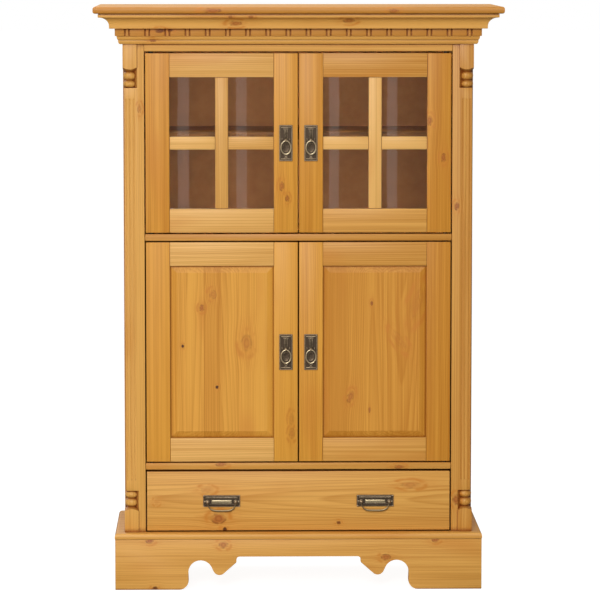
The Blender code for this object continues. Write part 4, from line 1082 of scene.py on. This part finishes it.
def door_plate(name, centre, material, body, node):
    """A ring handle's plate: double border, reeds, a drop boss, an oval dish and an hourglass."""
    casting = Casting(centre, STILE_FRONT)
    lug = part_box(node.replace("_plate", "_ring"))[1].z - RING_WIRE - centre[1]
    backplate(casting, DOOR_PLATE_HALF, DOOR_BORDER)
    for size, rise, wear in DOOR_BANDS:
        bead(casting, size, (0.0, rise), wear)
    for index in range(REED_COUNT):
        reed = (index - (REED_COUNT - 1) / 2) * REED_STEP
        casting.plate(REED_HALF, REED_CORNER, REED, (reed, lug + REED_RISE))
    casting.dome((0.0, lug + DROP_RISE), DROP)
    for side in SIDES:
        casting.dome((side * WING_PLACE[0], lug + WING_PLACE[1]), WING)
    casting.dome((0.0, lug - RING_SIZE[1] / 2), DISH, DISH_STEPS)
    low = lug - RING_SIZE[1] - HOURGLASS_DROP
    casting.loft([([(x * scale, low + z * scale) for x, z in HOURGLASS], out, wear)
                  for scale, out, wear in HOURGLASS_LEVELS])
    new_piece(name, casting.bm, material, body, "bronze", node)


def door_ring(name, centre, material, body, node):
    """An oval ring, a little stouter at its foot."""
    casting = Casting(centre, STILE_FRONT)
    path = []
    for step in range(RING_STEPS):
        angle = math.tau * step / RING_STEPS
        wire = RING_WIRE * (1.0 + RING_SWELL * (1.0 - math.cos(angle)))
        x = RING_SIZE[0] / 2 * math.sin(angle)
        z = RING_SIZE[1] / 2 * (math.cos(angle) - 1.0)
        path.append((x, z, wire, wire))
    casting.tube(path, RING_WEAR, closed=True)
    new_piece(name, casting.bm, material, body, "brass", node)


def drawer_plate(name, centre, bronze, brass, node):
    """A bail handle's plate: two bands, a row of ticks, two bosses and a pale window between them."""
    casting = Casting(centre, STILE_FRONT)
    backplate(casting, DRAWER_PLATE_HALF, DRAWER_BORDER)
    for size, rise, wear in DRAWER_BANDS:
        bead(casting, size, (0.0, rise), wear)
    for index in range(TICK_COUNT):
        tick = (index - (TICK_COUNT - 1) / 2) * TICK_STEP
        bead(casting, TICK_HALF, (tick, TICK_UP), TICK_WEAR, TICK_RISE)
    for side in SIDES:
        bead(casting, WINDOW_POST, (side * WINDOW_POST_OUT, DRAWER_LUG_RISE), WINDOW_POST_WEAR)
        casting.dome((side * BAIL_SPREAD, DRAWER_LUG_RISE), BOSS)
        casting.dome((side * STUD_OUT, DRAWER_LUG_RISE), STUD)
    new_piece(name, casting.bm, bronze, "drawer", "bronze", node)
    window = Casting(centre, STILE_FRONT)
    window.plate(WINDOW_HALF, WINDOW_CORNER, WINDOW, (0.0, DRAWER_LUG_RISE))
    new_piece(f"{name}_window", window.bm, brass, "drawer", "brass")


def drawer_bail(name, centre, material, body, node):
    """A bail that hangs between two bosses and swells to its middle."""
    casting = Casting(centre, STILE_FRONT)
    path = []
    for step in range(BAIL_STEPS + 1):
        angle = math.pi * step / BAIL_STEPS
        reach = math.copysign(abs(math.cos(angle)) ** BAIL_SQUARENESS, math.cos(angle))
        swell = math.sin(angle) ** BAIL_SWELL_CURVE
        thick = [wire + more * swell for wire, more in zip(BAIL_WIRE, BAIL_SWELL)]
        path.append((BAIL_SPREAD * reach, -BAIL_DROP * math.sin(angle), *thick))
    casting.tube(path, BAIL_WEAR, closed=False)
    new_piece(name, casting.bm, material, body, "brass", node)


def front_centre(node):
    """The middle of a node's front, (x, z)."""
    low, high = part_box(node)
    return (low.x + high.x) / 2, (low.z + high.z) / 2


def handles():
    """Every plate, ring and bail, in place of the plain solids."""
    bronze = metal("dark_bronze", *BRONZE)
    brass = metal("worn_brass", *BRASS)
    for hand in HANDS:
        for level in LEVELS:
            door = f"{hand}_{level}_door"
            centre = front_centre(f"{door}_handle_plate")
            pivot = centre[0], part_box(f"{door}_handle_ring")[1].z - RING_WIRE
            door_plate(f"{door}_cast_plate", centre, bronze, door, f"{door}_handle_plate")
            door_ring(f"{door}_cast_ring", pivot, brass, f"{hand}_{level}_ring", f"{door}_handle_ring")
        centre = front_centre(f"{hand}_drawer_plate")
        drawer_plate(f"{hand}_cast_drawer_plate", centre, bronze, brass, f"{hand}_drawer_plate")
        pivot = centre[0], centre[1] + DRAWER_LUG_RISE
        drawer_bail(f"{hand}_cast_bail", pivot, brass, f"{hand}_bail", f"{hand}_drawer_bail")


def back_nails(steel):
    """Round nail heads along the edges of the back panel."""
    low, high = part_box("back_panel")
    casting = Casting((0.0, 0.0), high.y)
    rows = [(x, low.z + (high.z - low.z) * (step + 0.5) / NAILS_UP)
            for x in (low.x + NAIL_INSET, high.x - NAIL_INSET) for step in range(NAILS_UP)]
    rows += [(low.x + (high.x - low.x) * (step + 0.5) / NAILS_ACROSS, z)
             for z in (low.z + NAIL_INSET, high.z - NAIL_INSET) for step in range(NAILS_ACROSS)]
    for place in rows:
        casting.dome(place, NAIL, NAIL_STEPS)
    new_piece("back_panel_nails", casting.bm, steel, "cabinet", "steel")


def finish_rest():
    """The backing and its nails, the panes and their bars, and the pivot pins."""
    paint(NODES["back_panel"], backing())
    ease(NODES["back_panel"])
    glass = clear_glass()
    for hand in HANDS:
        paint(NODES[f"{hand}_upper_door_glass"], glass)
        glazing_bars(hand)
    steel = metal("turned_steel", *STEEL)
    for node, piece in NODES.items():
        if node.startswith("hinge_pin"):
            paint(piece, steel)
            ease(piece)
    back_nails(steel)


def light(name, place, target, size, watts, size_y=None):
    """A soft box that looks at a point."""
    data = bpy.data.lights.new(name, "AREA")
    data.shape = "RECTANGLE"
    data.size = size
    data.size_y = size_y or size
    data.energy = watts
    lamp = linked(name, data)
    lamp.location = place
    lamp.rotation_mode = "QUATERNION"
    lamp.rotation_quaternion = (Vector(target) - Vector(place)).to_track_quat("-Z", "Y")
    lamp.visible_camera = False
    return lamp


def white_room():
    """A world that looks white, is soft on the object, uneven in reflections and strong through panes."""
    world = bpy.data.worlds.new("white_room")
    world.use_nodes = True
    tree = world.node_tree
    rays = tree.nodes.new("ShaderNodeLightPath")
    through = Value(tree, rays.outputs["Is Transmission Ray"])
    scattered = Value(tree, rays.outputs["Diffuse Depth"]).math("MINIMUM", 1.0)
    reflected = Value(tree, rays.outputs["Glossy Depth"]).math("MINIMUM", 1.0)
    straight = through * (1.0 - scattered) * (1.0 - reflected)
    seen = Value(tree, rays.outputs["Is Camera Ray"]) + straight
    direction = tree.nodes.new("ShaderNodeTexCoord")
    sideways, backward, upward = values_of(tree, direction.outputs["Generated"])
    soft = upward.ramp(*SKY_TURN) * (SKY - GROUND) + GROUND
    haze = sideways.ramp(*HAZE_SIDEWAYS) * (HAZE_RIGHT - HAZE_LEFT) + HAZE_LEFT
    haze = upward.ramp(*HAZE_UPWARD) * haze + HAZE_LEAST
    from_front = 1.0 - backward.ramp(*PANES_BACKWARD)
    soft = soft.between(haze, reflected * (1.0 - scattered))
    soft = soft.between(THROUGH_PANES, through * scattered * from_front)
    background = tree.nodes["Background"]
    background.inputs["Color"].default_value = WHITE
    feed(tree, background.inputs["Strength"], soft.between(1.0, seen))
    return world


def pale_floor():
    """A wide floor that only the camera sees, so that it shows the object's shadow on white."""
    bm = bmesh.new()
    bmesh.ops.create_grid(bm, x_segments=1, y_segments=1, size=FLOOR_SIZE)
    material, _, shader = new_material("pale_floor")
    floor = from_bmesh("floor", bm, material)
    floor.location.z = -FLOOR_DROP
    floor.visible_diffuse = False
    floor.visible_glossy = False
    floor.visible_transmission = False
    preset(shader, {"Base Color": FLOOR_GREY, "Roughness": FLOOR_ROUGHNESS, "Specular IOR Level": 0.0,
                    "Emission Color": WHITE, "Emission Strength": FLOOR_GLOW})


def studio():
    """A white room, a pale floor, soft boxes, strips that the panes mirror, and the camera."""
    scene = bpy.context.scene
    scene.view_settings.view_transform = "Standard"
    scene.view_settings.look = "None"
    scene.world = white_room()
    pale_floor()
    light("key_light", *KEY_LIGHT)
    light("top_light", *TOP_LIGHT)
    side = light("side_light", *SIDE_LIGHT)
    side.visible_glossy = False
    for index, (left, right) in enumerate(MIRRORED_STRIPS):
        place = (left + right) / 2, -STRIP_DISTANCE, STRIP_RISE
        target = place[0], 0.0, STRIP_RISE
        strip = light(f"strip_light_{index}", place, target, right - left, STRIP_WATTS, STRIP_LENGTH)
        strip.visible_diffuse = False
    data = bpy.data.cameras.new("camera")
    data.lens = LENS
    camera = linked("camera", data)
    camera.location = CAMERA_PLACE
    camera.rotation_euler = (math.radians(90) - CAMERA_TILT, 0.0, -CAMERA_TURN)
    scene.camera = camera


studio()
finish_wood()
finish_rest()
handles()
